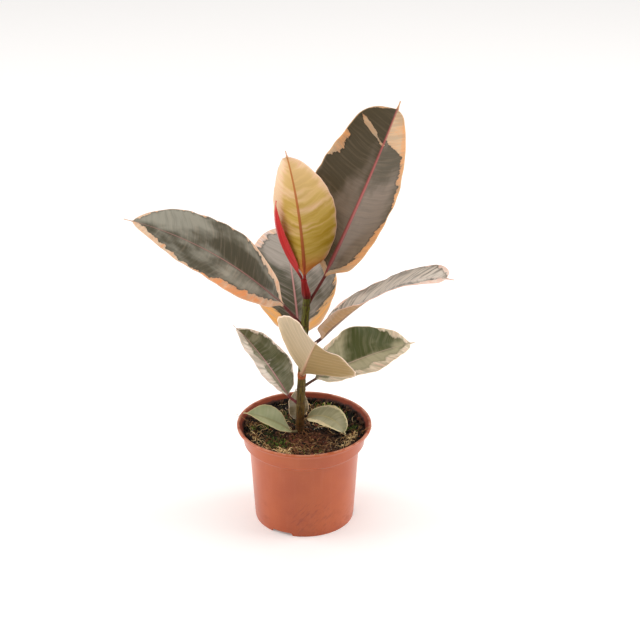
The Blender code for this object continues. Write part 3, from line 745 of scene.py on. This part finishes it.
def tilted(side, normal, tilt):
    """Side vectors and normals turned about the midrib."""
    cosine, sine = np.cos(tilt)[:, None], np.sin(tilt)[:, None]
    return side * cosine + normal * sine, normal * cosine - side * sine


def blade_surface(leaf, places, across, line, side, normal):
    """The middle surface of the blade, one row of points for each place, and its half widths."""
    t = np.clip(places / leaf.length, 0.0, 1.0)
    level, upward = tilted(side, normal, np.radians(leaf.roll + leaf.twist * t))
    still_folded = np.maximum(1 - leaf.relax * t, 0.1)
    columns, widths = [], []
    for v in across:
        half = 0 if v > 0 else 1
        a = abs(v)
        fold = np.radians(leaf.lift[half] * still_folded + leaf.curl[half] * a / 2)
        fold = fold * (1 - ease(t, 0.88, 0.98))
        width = half_width(t, leaf, half)
        swell = np.sqrt(np.sin(math.pi * t))
        ripple = leaf.wave * a * a * swell * np.sin(math.tau * (MARGIN_WAVES * t + 0.37 * half))
        fine = np.sin(math.tau * (9.3 * t + 0.61 * half) + leaf.heading)
        ripple += leaf.wave * 0.22 * a ** 4 * swell * fine
        out = width * a * np.cos(fold) * math.copysign(1.0, v)
        up = width * a * np.sin(fold) + ripple
        columns.append(line + level * out[:, None] + upward * up[:, None])
        widths.append(width)
    return np.stack(columns, 1), np.stack(widths, 1)


def leaf_marks(leaf, t, across, width):
    """Where the blade is pale, grey (partly painted sheen) and salmon (painted glow): pale is in mm
    in from the pale edge.
    """
    v = np.broadcast_to(across, width.shape)
    along = t[:, None] * leaf.length
    out = np.abs(v) * width
    foot = (along - leaf.slant * out) / leaf.length
    left, right = (np.interp(t, *zip(*shares))[:, None] for shares in (leaf.left, leaf.right))
    share = np.where(v > 0, left, right)
    pale = (np.abs(v) - 1 + share) * np.maximum(width, 2.0)
    grey = np.full(v.shape, GREY_GROUND)
    salmon_glow = np.full(v.shape, FLUSH_GROUND)
    for kind, place, place_across, long, wide, strength in leaf.patches:
        inside = 1 - np.hypot((foot - place) / long, (v - place_across) / wide)
        if kind == "pale":
            reach = min(long * leaf.length, wide * leaf.half)
            pale = np.maximum(pale, inside * reach * strength)
        elif kind == "grey":
            grey = grey + strength * ease(inside, 0.0, 0.7)
        else:
            salmon_glow = salmon_glow + strength * ease(inside, 0.0, 0.7)
    return np.stack([pale, grey, salmon_glow], 2)


def joined(upper, lower):
    """Rows of the upper face, run on round the margin by those of the lower one."""
    return np.concatenate([upper, lower[:, ::-1]], 1).reshape(-1, 3)


def grow_leaf(node, leaf, start, finish, seat=None, fineness=1.15, columns=26):
    """Stalk and blade in one closed mesh, the stalk's foot cut to fit round the stem."""
    foot = 0.0 if seat is None else seat[1] / math.cos(math.radians(leaf.stalk_rise))
    first = min(-leaf.stalk + foot, -1.5)
    rings = int(leaf.length / fineness)
    share = (1 - np.cos(np.linspace(0.0, math.pi, rings))) / 2
    share = 0.6 * np.linspace(0.0, 1.0, rings) + 0.4 * share
    stalk_places = np.linspace(first, -0.4, max(int(-first / 1.4), 4))
    places = np.concatenate([stalk_places, 0.6 + (leaf.length - 0.6) * share])
    half = np.linspace(0.0, 1.0, columns) ** 1.45
    half = np.append(half[:-1], (0.988, 1.0))
    across = np.concatenate([-half[:0:-1], half])
    line, ahead, side, normal = leaf_path(leaf, start, places)
    middle, width = blade_surface(leaf, places, across, line, side, normal)
    out = np.cross(np.gradient(middle, axis=0), np.gradient(middle, axis=1))
    out /= np.maximum(np.linalg.norm(out, axis=2, keepdims=True), 1e-9)
    out = np.where(np.abs(out).sum(2, keepdims=True) < 0.5, normal[:, None, :], out)
    t = np.clip(places / leaf.length, 0.0, 1.0)
    taper = ((1 - t) ** 0.8)[:, None]
    from_rib = np.abs(across) * width
    thick = BLADE_THICKNESS / 2 * np.where(np.abs(across) > 0.99, 0.35, 1.0)
    rib = RIB_HEIGHT * np.exp(-(from_rib / (0.5 + 0.35 * taper)) ** 2) * taper ** 0.5
    sunk = RIB_SINK * np.exp(-(from_rib / 2.4) ** 2) * taper ** 0.4
    keel = KEEL_HEIGHT * leaf.stalk_radius / STALK_RADIUS * taper
    keel = keel * np.exp(-(from_rib / (0.7 + 1.0 * taper)) ** 2)
    above = middle + out * (thick + rib - sunk)[:, :, None]
    below = middle - out * (thick + keel - sunk * 0.5)[:, :, None]
    angles = math.pi / 2 * (1 - 0.96 * across)
    foot_flare = 1 + 0.35 * np.exp(-(places - places[0]) / 1.6) * (seat is not None)
    around = np.stack([np.cos(angles), np.sin(angles)], 1)
    tube = leaf.stalk_radius * foot_flare[:, None, None] * around
    tilt = np.radians(leaf.roll + leaf.twist * t) * ease(places, -leaf.stalk, 0.0)
    level, upward = tilted(side, normal, tilt)
    flat = ease(places, -1.5, 0.10 * leaf.length)[:, None, None]
    for rows, sign in ((above, 1.0), (below, -1.0)):
        rounds = line[:, None] + level[:, None] * tube[:, :, :1]
        rounds = rounds + upward[:, None] * tube[:, :, 1:] * sign
        rows[:] = rounds * (1 - flat) + rows * flat
    if seat is not None:
        centre, radius = seat
        forward = np.array([*polar(1.0, math.radians(leaf.heading)), 0.0])
        sideways = np.array([-forward[1], forward[0], 0.0])
        for rows in (above, below):
            rel = rows[0] - centre
            target = np.sqrt(np.maximum(radius ** 2 - (rel @ sideways) ** 2, 0.0))
            rows[0] += ahead[0] * ((target - rel @ forward) / (ahead[0] @ forward))[:, None]
    count, wide = above.shape[:2]
    turn = 2 * wide
    faces = ring_faces(count, turn)
    for a, way in ((0, 1), ((count - 1) * turn, -1)):
        faces += [(a + j, a + turn - 1 - j, a + turn - 2 - j, a + j + 1)[::way]
                  for j in range(wide - 1)]
    marks = leaf_marks(leaf, t, across, width)
    place = np.stack([np.broadcast_to(places[:, None], width.shape), across * width,
                      (1 - np.abs(across)) * width], 2)
    stalk_part = np.broadcast_to(1 - ease(places, -1.0, 5.0)[:, None], width.shape)
    share_along = np.broadcast_to(t[:, None], width.shape)
    sorts = [np.stack([np.full(width.shape, upper), stalk_part, share_along], 2)
             for upper in (1.0, 0.0)]
    add_piece(node + "_blade", joined(above, below), faces, finish, node, {
        "place": joined(place, place), "marks": joined(marks, marks), "sort": joined(*sorts)})


def leaf_finish(name, seed, dark, grey, cream, salmon, under=((186, 160, 120), (176, 148, 104)),
                rib=(196, 126, 116), stalk=(104, 32, 30), rib_wide=1.0, edging=(238, 198, 168),
                edge_wide=1.0, ragged=18.0, soft=0.4, seam_dark=0.55, streaky=0.5, mottle=0.3,
                slant=VEIN_SLANT, vein_gap=VEIN_GAP):
    """A waxy blade: streaks along the side veins, a ragged pale margin, a rib, a pale underside."""
    f = Finish(name + "_skin", specular=0.24, coat=0.06, coat_roughness=0.3)
    place = f.mark("place")
    along, across, inward = f.parts(place)
    pale_mm, grey_sheen_share, salmon_glow = f.parts(f.mark("marks"))
    upper, on_stalk, share = f.parts(f.mark("sort"))
    out = abs(across)
    left = across.step(-0.1, 0.1)
    clouds = f.noise(place, 0.055)
    foot = along - out * slant - out * out * VEIN_BEND + (f.noise(place, 0.03, 1.0) - 0.5) * 7.0
    depth = left * 9.0 + seed
    tongues = f.noise((foot * 0.15, out * 0.05, depth), 1.0, 3.0, 0.6)
    threads = f.noise((foot * 1.5, out * 0.06, depth), 1.0, 3.0, 0.6)
    bands = f.noise((foot * 0.36, out * 0.03, depth + 4.0), 1.0)
    spots = f.noise(place, 0.9)
    edge = pale_mm + (tongues - 0.5) * ragged + (threads - 0.5) * 2.6 + (spots - 0.5) * 2.0
    pale = edge.step(-soft, soft)
    seam = edge.step(-2.4 - soft, -soft) * (1 - pale)
    drift = (clouds - 0.5) * 1.4 + (tongues - 0.5) * 0.35 + (threads - 0.5) * streaky
    # Grey patches: partly the blade's own grey mottling and partly painted sheen.
    grey_and_sheen = (grey_sheen_share + drift).step(0.0, 0.9)
    from_vein = foot.fold(vein_gap).step(0.05 * vein_gap, 0.47 * vein_gap)
    vein = (1 - from_vein) * tongues.step(0.3, 0.65)
    body = f.mix(grey_and_sheen, dark, grey)
    body = body.tint(bands.step(0.48, 0.72) * streaky * 0.55, f.mix(0.45, grey, cream))
    body = body.tint((1 - bands.step(0.28, 0.5)) * streaky * 0.8, f.mix(0.3, dark, (34, 26, 10)))
    body = body.tint(threads.step(0.5, 0.75) * streaky * 0.2, f.mix(0.5, grey, cream))
    body = body.tint(vein * 0.05, f.mix(0.25, grey, cream))
    body = body.tint(seam * seam_dark, f.mix(0.75, dark, (34, 26, 10)))
    # Painted glow: salmon laid into the pale margins where light shines through the thin blade.
    salmon_glow_share = (salmon_glow + (tongues - 0.5) * 1.2 + (spots - 0.5) * 0.6).step(0.15, 0.85)
    light = f.mix(salmon_glow_share, cream, salmon)
    light = light.tint(threads.step(0.5, 0.8) * 0.3, f.mix(0.5, salmon, grey))
    light = light.tint(bands.step(0.4, 0.6) * mottle, f.mix(0.2, grey, cream))
    light = light.tint((1 - edge.step(0.5, 5.0)) * threads.step(0.4, 0.65) * 0.5, grey)
    light = light.tint(vein * 0.2, salmon)
    top = f.mix(pale, body, light)
    below = f.mix(left, under[1], under[0])
    below = below.tint(edge.step(-4.0, 4.0) * 0.4, cream)
    below = below.tint(tongues.step(0.42, 0.62) * 0.3, f.mix(0.5, below, dark))
    below = below.tint(vein * 0.45, f.mix(0.6, below, cream))
    skin = f.mix(upper, below, top)
    rib_half = rib_wide * (0.4 + 0.8 * (1 - share))
    on_rib = 1 - out.step(rib_half * 0.8, rib_half * 1.25)
    rib_skin = f.mix(out.step(rib_half * 0.3, rib_half * 0.8), rib, f.mix(0.6, rib, stalk))
    rib_skin = rib_skin.tint(0.6 * (1 - share.step(0.0, 0.45)), stalk)
    skin = skin.tint(on_rib * (0.95 - share * 0.4), rib_skin)
    # Painted glow: the thin rim along the edge takes the edging colour, as if light were shining
    # through it.
    rim = 1 - inward.step(0.3 * edge_wide, 1.1 * edge_wide)
    skin = skin.tint(rim * 0.75, edging)
    stem_skin = f.mix(threads.step(0.4, 0.7), stalk, f.mix(0.25, stalk, grey))
    skin = skin.tint(on_stalk.step(0.2, 0.8), stem_skin)
    off_rib = out.step(0.5, 2.5) * (1 - share.step(0.94, 1.0))
    relief = off_rib * (1 - vein) + threads * 0.4 + tongues * 0.3
    f.dress(skin, relief, 0.17, 0.0004, Roughness=0.38 + threads * 0.12 + pale * 0.06)
    return f


def on_stem(node, leaf, seed, *colours, slot="leaf", fineness=1.15, **looks):
    """Grows a leaf from its joint on the stem. The colours are dark, grey (partly painted sheen),
    cream and salmon (painted glow).
    """
    centre = stem_point(leaf.joint)
    radius = min(stem_radius(leaf.joint + dz) for dz in (-3, -1, 0, 1, 3)) - SEAT_DEPTH
    finish = leaf_finish(node, seed, *colours, **looks)
    grow_leaf(node, leaf, centre, finish, (centre, radius), fineness)


# The tallest leaf stands up to the right, brown-grey with a ragged beige margin, painted salmon where
# light glows through it.
on_stem("leaf_upper_right", Leaf(
    206.5, 17, 31, 58, length=166, half=46, rise=58, droop=2, turn=18, sweep=16, roll=14,
    lift=(8, 20), curl=(6, 8), widest=(0.52, 0.41), blunt=(0.5, 0.0), wave=1.2, stalk_radius=1.3,
    slant=0.7,
    left=((0, 1), (0.07, 0.7), (0.12, 0.3), (0.3, 0.1), (0.5, -0.08), (0.58, -0.08), (0.62, 0.14),
          (0.74, 0.18), (0.77, -0.05), (0.86, -0.08), (0.93, 0.1), (0.97, 1), (1, 1)),
    right=((0, 1), (0.06, 0.7), (0.09, 0.42), (0.14, 0.28), (0.2, 0.24), (0.26, 0.2), (0.36, 0.1),
           (0.42, 0.0), (0.5, 0.04), (0.6, 0.13), (0.72, 0.1), (0.75, 0.45), (0.785, 1.1),
           (0.84, 1.4), (1, 1.4)),
    patches=(("pale", 0.75, 0.5, 0.016, 0.45, 3.6), ("grey", 0.25, -0.4, 0.3, 0.7, 0.6),
             ("grey", 0.66, -0.5, 0.16, 0.6, -0.6), ("grey", 0.6, 0.7, 0.35, 0.6, -0.8),
             ("grey", 0.85, 0.3, 0.2, 0.5, -0.5), ("grey", 0.35, 0.2, 0.2, 0.3, 0.3),
             ("salmon", 0.15, -0.9, 0.25, 0.6, 0.6), ("salmon", 0.6, -0.95, 0.4, 0.25, 0.4),
             ("salmon", 0.66, 0.95, 0.2, 0.3, 0.6))),
    1.0, (76, 64, 41), (128, 111, 95), (206, 174, 138), (226, 158, 100), rib=(188, 88, 86),
    rib_wide=2.0, edging=(236, 188, 134), streaky=0.22)

# The long leaf to the left has a thin pale back edge and a jagged front one, painted orange where
# light glows through it.
on_stem("leaf_left", Leaf(
    186, 178, 27, 50, length=162, half=42, rise=47, droop=32, sweep=2, roll=-18, twist=10,
    lift=(3, 3), widest=(0.51, 0.52),
    left=((0, 1), (0.05, 0.75), (0.1, 0.5), (0.15, 0.42), (0.22, 0.4), (0.3, 0.28), (0.37, 0.36),
          (0.43, 0.28), (0.49, 0.07), (0.58, 0.05), (0.68, 0.13), (0.76, 0.24), (0.82, 0.34),
          (0.88, 0.75), (0.93, 1), (1, 1)),
    right=((0, 1), (0.05, 0.8), (0.1, 0.34), (0.2, 0.2), (0.3, 0.06), (0.4, 0), (0.85, 0.02),
           (0.93, 0.5), (0.97, 1), (1, 1)),
    patches=(("grey", 0.3, -0.35, 0.3, 0.45, -0.6), ("grey", 0.75, -0.7, 0.35, 0.7, 0.6),
             ("grey", 0.15, 0.4, 0.35, 0.6, 0.3), ("grey", 0.55, 0.5, 0.3, 0.6, -0.1),
             ("salmon", 0.3, 0.9, 0.3, 0.5, 0.5))),
    2.0, (76, 70, 50), (156, 151, 135), (238, 202, 168), (236, 152, 92), rib=(172, 130, 118),
    streaky=0.24)

# The leaf behind the stem, grey and rose with a broad pale foot.
on_stem("leaf_back", Leaf(
    155, 98, 22, 25, length=136, half=40, rise=50, droop=45, lift=(5, 5), slant=0.9,
    left=((0, 1), (0.08, 0.75), (0.2, 0.4), (0.28, 0.15), (0.4, 0.1), (0.7, 0.2), (0.85, 0.3),
          (0.95, 1), (1, 1)),
    right=((0, 1), (0.08, 0.8), (0.17, 0.4), (0.25, 0.15), (0.4, 0.0), (0.7, 0.0), (0.85, 0.1),
           (0.95, 1), (1, 1)),
    patches=(("grey", 0.3, 0.3, 0.25, 0.5, -0.6), ("grey", 0.7, 0.4, 0.35, 0.7, 0.7),
             ("grey", 0.5, -0.4, 0.3, 0.5, 0.3), ("salmon", 0.15, -0.8, 0.25, 0.5, 0.9),
             ("salmon", 0.15, 0.8, 0.25, 0.5, 0.9))),
    3.0, (72, 68, 48), (156, 146, 135), (236, 208, 198), (246, 178, 96), rib=(206, 150, 144),
    soft=1.0, streaky=0.4, mottle=0.5, slant=0.7)

# The leaf to the right, which shows its edge and some of its beige underside.
on_stem("leaf_right", Leaf(
    163, -9, 20, 41, length=144, half=38, rise=47.5, droop=51, late=2.2, sweep=-13, roll=-16,
    twist=12, lift=(43, 26), relax=1.9, curl=(4, 4), widest=(0.53, 0.5), blunt=(0.4, 0.2),
    fullness=0.55,
    left=((0, 0.9), (0.05, 0.4), (0.1, 0.1), (0.3, 0.03), (0.6, 0.02), (0.85, 0.06), (0.95, 0.6),
          (1, 1)),
    right=((0, 1), (0.1, 0.4), (0.25, 0.15), (0.45, 0.1), (0.6, 0.1), (0.8, 0.15), (0.95, 1),
           (1, 1)),
    patches=(("grey", 0.6, 0.3, 0.6, 0.8, 0.5),)),
    4.0, (116, 102, 86), (218, 206, 191), (240, 212, 194), (224, 162, 136),
    under=((190, 150, 108), (196, 154, 112)), rib=(232, 208, 192), stalk=(84, 30, 24), rib_wide=2.2,
    edging=(238, 190, 168), streaky=1.15, slant=0.35)

# The pale leaf in front is seen from behind: beige, khaki on its right, with fine diagonal veins.
on_stem("leaf_front", Leaf(
    141, -84, 8, 30, length=148, half=42, rise=39.5, droop=4, roll=-37, twist=-10, lift=(13, 10),
    relax=-0.5, curl=(1, -1), widest=(0.56, 0.56), fullness=0.83, blunt=(0.43, 0.49), wave=0.5,
    stalk_radius=2.2,
    left=((0, 0.6), (0.08, 0.2), (0.3, 0.1), (0.7, 0.05), (1, 0.1)),
    right=((0, 0.6), (0.08, 0.3), (0.3, 0.2), (0.7, 0.05), (1, 0.1))),
    5.0, (96, 88, 62), (140, 130, 108), (226, 198, 160), (216, 164, 126),
    under=((164, 136, 90), (168, 145, 109)), rib=(196, 158, 128), stalk=(150, 96, 66),
    edging=(250, 222, 198), edge_wide=1.5, slant=0.9, vein_gap=6.5, slot="pale_leaf")

# The two lower leaves, mottled in olive, grey and cream.
on_stem("leaf_low_left", Leaf(
    110, 168, 13, 32, length=82, half=26, rise=44, droop=12, turn=-35, sweep=14, roll=14,
    lift=(12, 12), curl=(4, 4), stalk_radius=1.2,
    left=((0, 1), (0.06, 0.6), (0.15, 0.55), (0.25, 0.6), (0.4, 0.68), (0.6, 0.6), (0.75, 0.75),
          (0.9, 0.95), (1, 1)),
    right=((0, 1), (0.05, 0.4), (0.1, 0.08), (0.4, 0.04), (0.5, 0.12), (0.6, 0.05), (0.85, 0.2),
           (0.93, 0.8), (1, 1)),
    patches=(("grey", 0.5, -0.5, 0.5, 0.6, -0.3), ("grey", 0.4, 0.3, 0.5, 0.4, 0.7),
             ("grey", 0.72, -0.5, 0.05, 0.5, 0.8), ("pale", 0.4, 0.3, 0.03, 0.3, 0.7))),
    6.0, (78, 80, 45), (139, 134, 108), (245, 233, 219), (214, 174, 156), rib=(206, 160, 158),
    stalk=(120, 44, 50), edging=(240, 222, 206), ragged=14.0, soft=1.2, seam_dark=0.3, streaky=0.35,
    mottle=0.65)
on_stem("leaf_low_right", Leaf(
    127, 14, 14, 30, length=96, half=34, rise=24, droop=18, sweep=2, roll=9, lift=(16, 13),
    curl=(4, 4), wave=1.4, stalk_radius=1.2,
    left=((0, 1), (0.1, 0.2), (0.3, 0.1), (0.36, 0.1), (0.42, 0.0), (0.5, -0.08), (0.66, -0.08),
          (0.73, 0.06), (0.8, 0.26), (0.88, 0.36), (0.95, 1.0), (1, 1.1)),
    right=((0, 1), (0.1, 0.5), (0.35, 0.4), (0.45, 0.32), (0.55, 0.52), (0.65, 0.36), (0.72, 0.6),
           (0.8, 0.36), (0.86, 0.6), (0.93, 1.0), (1, 1.1)),
    patches=(("grey", 0.6, 0.5, 0.35, 0.7, -0.5), ("grey", 0.2, 0.6, 0.17, 0.9, 0.45),
             ("grey", 0.5, -0.4, 0.5, 0.5, 0.7), ("grey", 0.86, 0.3, 0.12, 0.8, 0.25))),
    7.0, (72, 80, 36), (177, 171, 138), (246, 231, 206), (224, 184, 164), rib=(204, 184, 160),
    stalk=(84, 48, 40), edging=(246, 224, 192), soft=1.6, seam_dark=0.2, streaky=0.2, mottle=0.85)

# Three small leaves just above the soil, sage green and less marked.
on_stem("leaf_soil_left", Leaf(
    84.8, 228, 8, 2, length=49, half=12.3, rise=42.5, droop=34, turn=-44, sweep=-4, roll=-42,
    lift=(40, 12), curl=(1, 11), widest=(0.45, 0.59), fullness=1.08, wave=0.8, stalk_radius=1.0,
    left=((0, 0.5), (0.1, 0.0), (0.9, 0.0), (1, 0.4)),
    right=((0, 0.5), (0.1, 0.0), (0.9, 0.0), (1, 0.4))),
    8.0, (154, 162, 118), (180, 182, 146), (212, 202, 158), (190, 170, 122), rib=(164, 164, 124),
    stalk=(126, 112, 76), ragged=4.0, edging=(206, 186, 140), seam_dark=0.0, streaky=0.35,
    fineness=0.6)
on_stem("leaf_soil_right", Leaf(
    94.5, -14, 6, 20, length=45, half=13.5, rise=36, droop=84, sweep=-34, roll=24, lift=(2, 26),
    curl=(-6, -6), wave=0.6, stalk_radius=1.0,
    left=((0, 0.6), (0.12, 0.16), (0.9, 0.18), (1, 0.6)),
    right=((0, 0.9), (0.2, 0.4), (0.5, 0.25), (0.9, 0.2), (1, 0.6))),
    9.0, (140, 138, 102), (168, 162, 132), (222, 208, 164), (204, 176, 140), rib=(170, 166, 120),
    stalk=(150, 120, 84), ragged=5.0, edging=(232, 216, 164), seam_dark=0.0, mottle=0.5,
    fineness=0.6)
on_stem("leaf_soil_back", Leaf(
    87, 104, 7, 20, length=29, half=11, rise=80, droop=15, roll=20, lift=(8, 8), curl=(8, 8),
    wave=0.9, stalk_radius=0.9,
    left=((0, 0.5), (0.1, 0.05), (0.9, 0.1), (1, 0.5)),
    right=((0, 0.5), (0.1, 0.05), (0.9, 0.1), (1, 0.5))),
    10.0, (118, 104, 72), (156, 140, 112), (206, 186, 152), (180, 140, 110), rib=(150, 110, 84),
    stalk=(104, 70, 46), ragged=5.0, edging=(206, 182, 150), seam_dark=0.0, streaky=0.6,
    fineness=0.5)


# Bud: the closed dark red tip of the shoot, narrow above and full below, of tightly rolled scales.
# The young leaf and its long red sheath stand on it.
BUD_HEIGHT, BUD_WAIST, BUD_BELLY, BUD_LEAN = 17.5, 2.8, 4.0, -2.6
bud_profile = rounded(
    [(0.0, STEM_TOP + BUD_HEIGHT + 0.5), (BUD_WAIST - 0.6, STEM_TOP + BUD_HEIGHT + 0.4)]
    + [(radius, STEM_TOP + share * BUD_HEIGHT) for share, radius in (
        (1.0, BUD_WAIST), (0.92, BUD_WAIST - 0.15), (0.8, BUD_WAIST), (0.66, BUD_WAIST + 0.4),
        (0.5, BUD_BELLY - 0.5), (0.36, BUD_BELLY - 0.1), (0.24, BUD_BELLY), (0.12, BUD_BELLY - 0.15),
        (0.04, STEM_TOP_RADIUS + 0.2), (0.0, STEM_TOP_RADIUS))]
    + [(0.0, STEM_TOP - 0.3)], 2)
bud_points, bud_faces = turned(bud_profile, 64)
bud_points[:, 0] += stem_point(STEM_TOP)[0] + BUD_LEAN / BUD_HEIGHT * (bud_points[:, 2] - STEM_TOP)
scale_red = Finish("bud_scale", specular=0.25, coat=0.08, coat_roughness=0.25)
spot_x, spot_y, spot_z = scale_red.parts(scale_red.here())
streak = scale_red.noise((spot_x, spot_y, spot_z * 0.07), 900.0, 3.0)
red = scale_red.mix(spot_z.step(STEM_TOP * MM, (STEM_TOP + 9.0) * MM), (84, 10, 8), (136, 14, 14))
red = red.tint(spot_z.step((STEM_TOP + 12.5) * MM, (STEM_TOP + 22.5) * MM), (180, 28, 26))
red = red.tint(streak.step(0.5, 0.75) * 0.4, (190, 48, 40))
red = red.tint(streak.step(0.62, 0.8) * 0.4, (84, 12, 12))
scale_red.dress(red, streak, 0.4, 0.0004, Roughness=0.3 + streak * 0.2)
add_piece("bud_scales", bud_points, bud_faces, scale_red, "bud")

# Young leaf: half open and still soft, golden olive outside, with pink and cream edges and an
# orange-red midrib. The long red sheath that held it stands close on its left.
YOUNG_LEAF_SEAT, SHEATH_SEAT = (0.9, -0.6, 0.1), (-1.9, 0.5, 0.6)
shoot_top = stem_point(STEM_TOP) + (BUD_LEAN, 0.0, BUD_HEIGHT + 2 * GAP)
young = Leaf(
    0, -122, 3, 86, length=130, half=34.5, rise=86, droop=18, roll=32, lift=(8, 17), relax=-1.3,
    curl=(30, 45), widest=(0.41, 0.44), blunt=(0.0, 0.1), fullness=0.76, wave=0.6,
    stalk_radius=1.3, slant=0.0,
    left=((0, 0.5), (0.1, 0.05), (0.5, 0.03), (0.65, 0.2), (0.8, 0.25), (0.9, 0.6), (1, 1)),
    right=((0, 0.5), (0.1, 0.15), (0.3, 0.4), (0.5, 0.52), (0.7, 0.56), (0.8, 0.6), (0.92, 1),
           (1, 1)),
    patches=(("pale", 0.5, 0.35, 0.016, 0.4, 1.0), ("pale", 0.36, -0.5, 0.02, 0.4, 0.6),
             ("pale", 0.62, -0.4, 0.02, 0.4, 0.6)))
gold = Finish("young_leaf_skin", specular=0.3, coat=0.08, coat_roughness=0.3)
place = gold.mark("place")
along, across, inward = gold.parts(place)
pale_mm, _, _ = gold.parts(gold.mark("marks"))
upper, on_stalk, share = gold.parts(gold.mark("sort"))
out = abs(across)
left = across.step(-0.1, 0.1)
drift = gold.noise(place, 0.07)
foot = along - out * 0.12 - out * out * 0.002 + (drift - 0.5) * 8.0
tongues = gold.noise((foot * 0.22, out * 0.03, left * 9.0), 1.0, 1.5, 0.5)
threads = gold.noise((foot * 1.4, out * 0.04, left * 9.0), 1.0, 3.0, 0.6)
vein = 1 - foot.fold(1.8).step(0.1, 0.9)
edge = pale_mm + (tongues - 0.5) * 14.0 + (threads - 0.5) * 3.0
pale = edge.step(-4.0, 4.0)
ochre = gold.mix(tongues.step(0.25, 0.75), (178, 142, 28), (210, 177, 86))
ochre = ochre.tint(share.step(0.3, 0.9) * 0.7, (230, 190, 138))
ochre = ochre.tint(threads.step(0.5, 0.75) * 0.14, (214, 184, 104))
flesh = gold.mix(threads.step(0.4, 0.7), (232, 198, 156), (226, 168, 136))
skin = gold.mix(pale * 0.85, ochre, flesh)
skin = skin.tint(vein * 0.08, (226, 188, 130))
skin = skin.tint((1 - share.step(0.01, 0.18)) * 0.7, (200, 76, 34))
inside = gold.mix(pale, (146, 126, 58), (226, 180, 150))
skin = skin.tint(upper, gold.mix(0.35, inside, skin))
rib_half = 0.6 + 1.3 * (1 - share)
on_rib = 1 - out.step(rib_half * 0.5, rib_half * 1.2)
skin = skin.tint(on_rib * 0.9, gold.mix(share, (150, 46, 16), (196, 120, 52)))
rim = 1 - inward.step(0.3, 1.3)
skin = skin.tint(rim * 0.8, (238, 196, 170))
skin = skin.tint(on_stalk.step(0.2, 0.9), (150, 30, 28))
gold.dress(skin, threads * 0.4 + (1 - vein) * 0.6, 0.22, 0.0004, Roughness=0.34 + threads * 0.14)
grow_leaf("young_leaf", young, shoot_top + YOUNG_LEAF_SEAT, gold)

sheath = Leaf(
    0, 176, 5, 66, length=72, half=7.6, rise=52, droop=-44, roll=42, lift=(20, 20), curl=(16, 16),
    widest=(0.4, 0.4), fullness=0.8, relax=0.6, wave=0.0, stalk_radius=1.3)
sheath_red = Finish("sheath_scale", specular=0.3, coat=0.1, coat_roughness=0.25)
along, across, inward = sheath_red.parts(sheath_red.mark("place"))
_, on_stalk, share = sheath_red.parts(sheath_red.mark("sort"))
lines = sheath_red.noise((along * 0.02, across * 1.6, 0.0), 1.0, 3.0)
red = sheath_red.mix(lines.step(0.35, 0.65), (194, 24, 30), (218, 62, 60))
red = red.tint(share.step(0.8, 1.0) * 0.5, (216, 96, 74))
red = red.tint((1 - inward.step(0.2, 0.7)) * 0.5, (226, 96, 84))
red = red.tint(on_stalk.step(0.1, 0.9) * 0.8, (128, 22, 22))
sheath_red.dress(red, lines, 0.35, 0.0003, Roughness=0.32 + lines * 0.15)
grow_leaf("bud_sheath", sheath, shoot_top + SHEATH_SEAT, sheath_red, columns=14)


# Studio: a plain pale floor that runs back into white, soft light from both sides and above.
paper = Finish("pale_floor", 0.9, 0.1)
clouds = paper.noise(paper.here(), 3.0)
paper.fill(paper.shader, {"Base Color": paper.mix(clouds * 0.2, (252, 250, 248), (248, 244, 241)),
                          "Emission Color": hue(255, 250, 247), "Emission Strength": 0.15})
bpy.ops.mesh.primitive_plane_add(size=12.0, location=(0.0, 3.0, 0.0))
floor = bpy.context.object
floor.name = "studio_floor"
floor.data.materials.append(paper.material)


def softbox(name, place, toward, size, power):
    """A square soft light at a place in metres, turned toward a point."""
    lamp = bpy.data.lights.new(name, "AREA")
    lamp.energy = power
    lamp.size = size
    box = bpy.data.objects.new(name, lamp)
    box.location = place
    box.rotation_euler = (Vector(toward) - Vector(place)).to_track_quat("-Z", "Y").to_euler()
    bpy.context.scene.collection.objects.link(box)


softbox("key_light", (-1.0, -1.3, 1.8), (0.0, 0.0, 0.15), 1.2, 5.0)
softbox("left_light", (-1.4, 0.1, 0.6), (0.0, 0.0, 0.12), 1.1, 14.0)
softbox("right_light", (1.4, 0.1, 0.6), (0.0, 0.0, 0.12), 1.1, 15.0)
softbox("top_light", (0.1, 0.4, 2.0), (0.0, 0.0, 0.1), 1.4, 11.0)
world = bpy.data.worlds.new("white_room")
bpy.context.scene.world = world
world.use_nodes = True
room = world.node_tree.nodes["Background"]
room.inputs["Color"].default_value = (1.0, 1.0, 1.0, 1.0)
room.inputs["Strength"].default_value = 0.5

# The camera looks down on the plant as in the photograph.
CAMERA_PLACE, LOOKS_DOWN, LENS_LENGTH = (0.01410714, -1.74923941, 1.0606), 26.352, 126.0
lens = bpy.data.cameras.new("camera")
lens.lens = LENS_LENGTH
lens.sensor_width = 36.0
camera = bpy.data.objects.new("camera", lens)
camera.location = CAMERA_PLACE
camera.rotation_euler = (math.radians(90.0 - LOOKS_DOWN), 0.0, 0.0)
bpy.context.scene.collection.objects.link(camera)
bpy.context.scene.camera = camera
bpy.context.scene.view_settings.view_transform = "Standard"

bpy.context.view_layer.update()
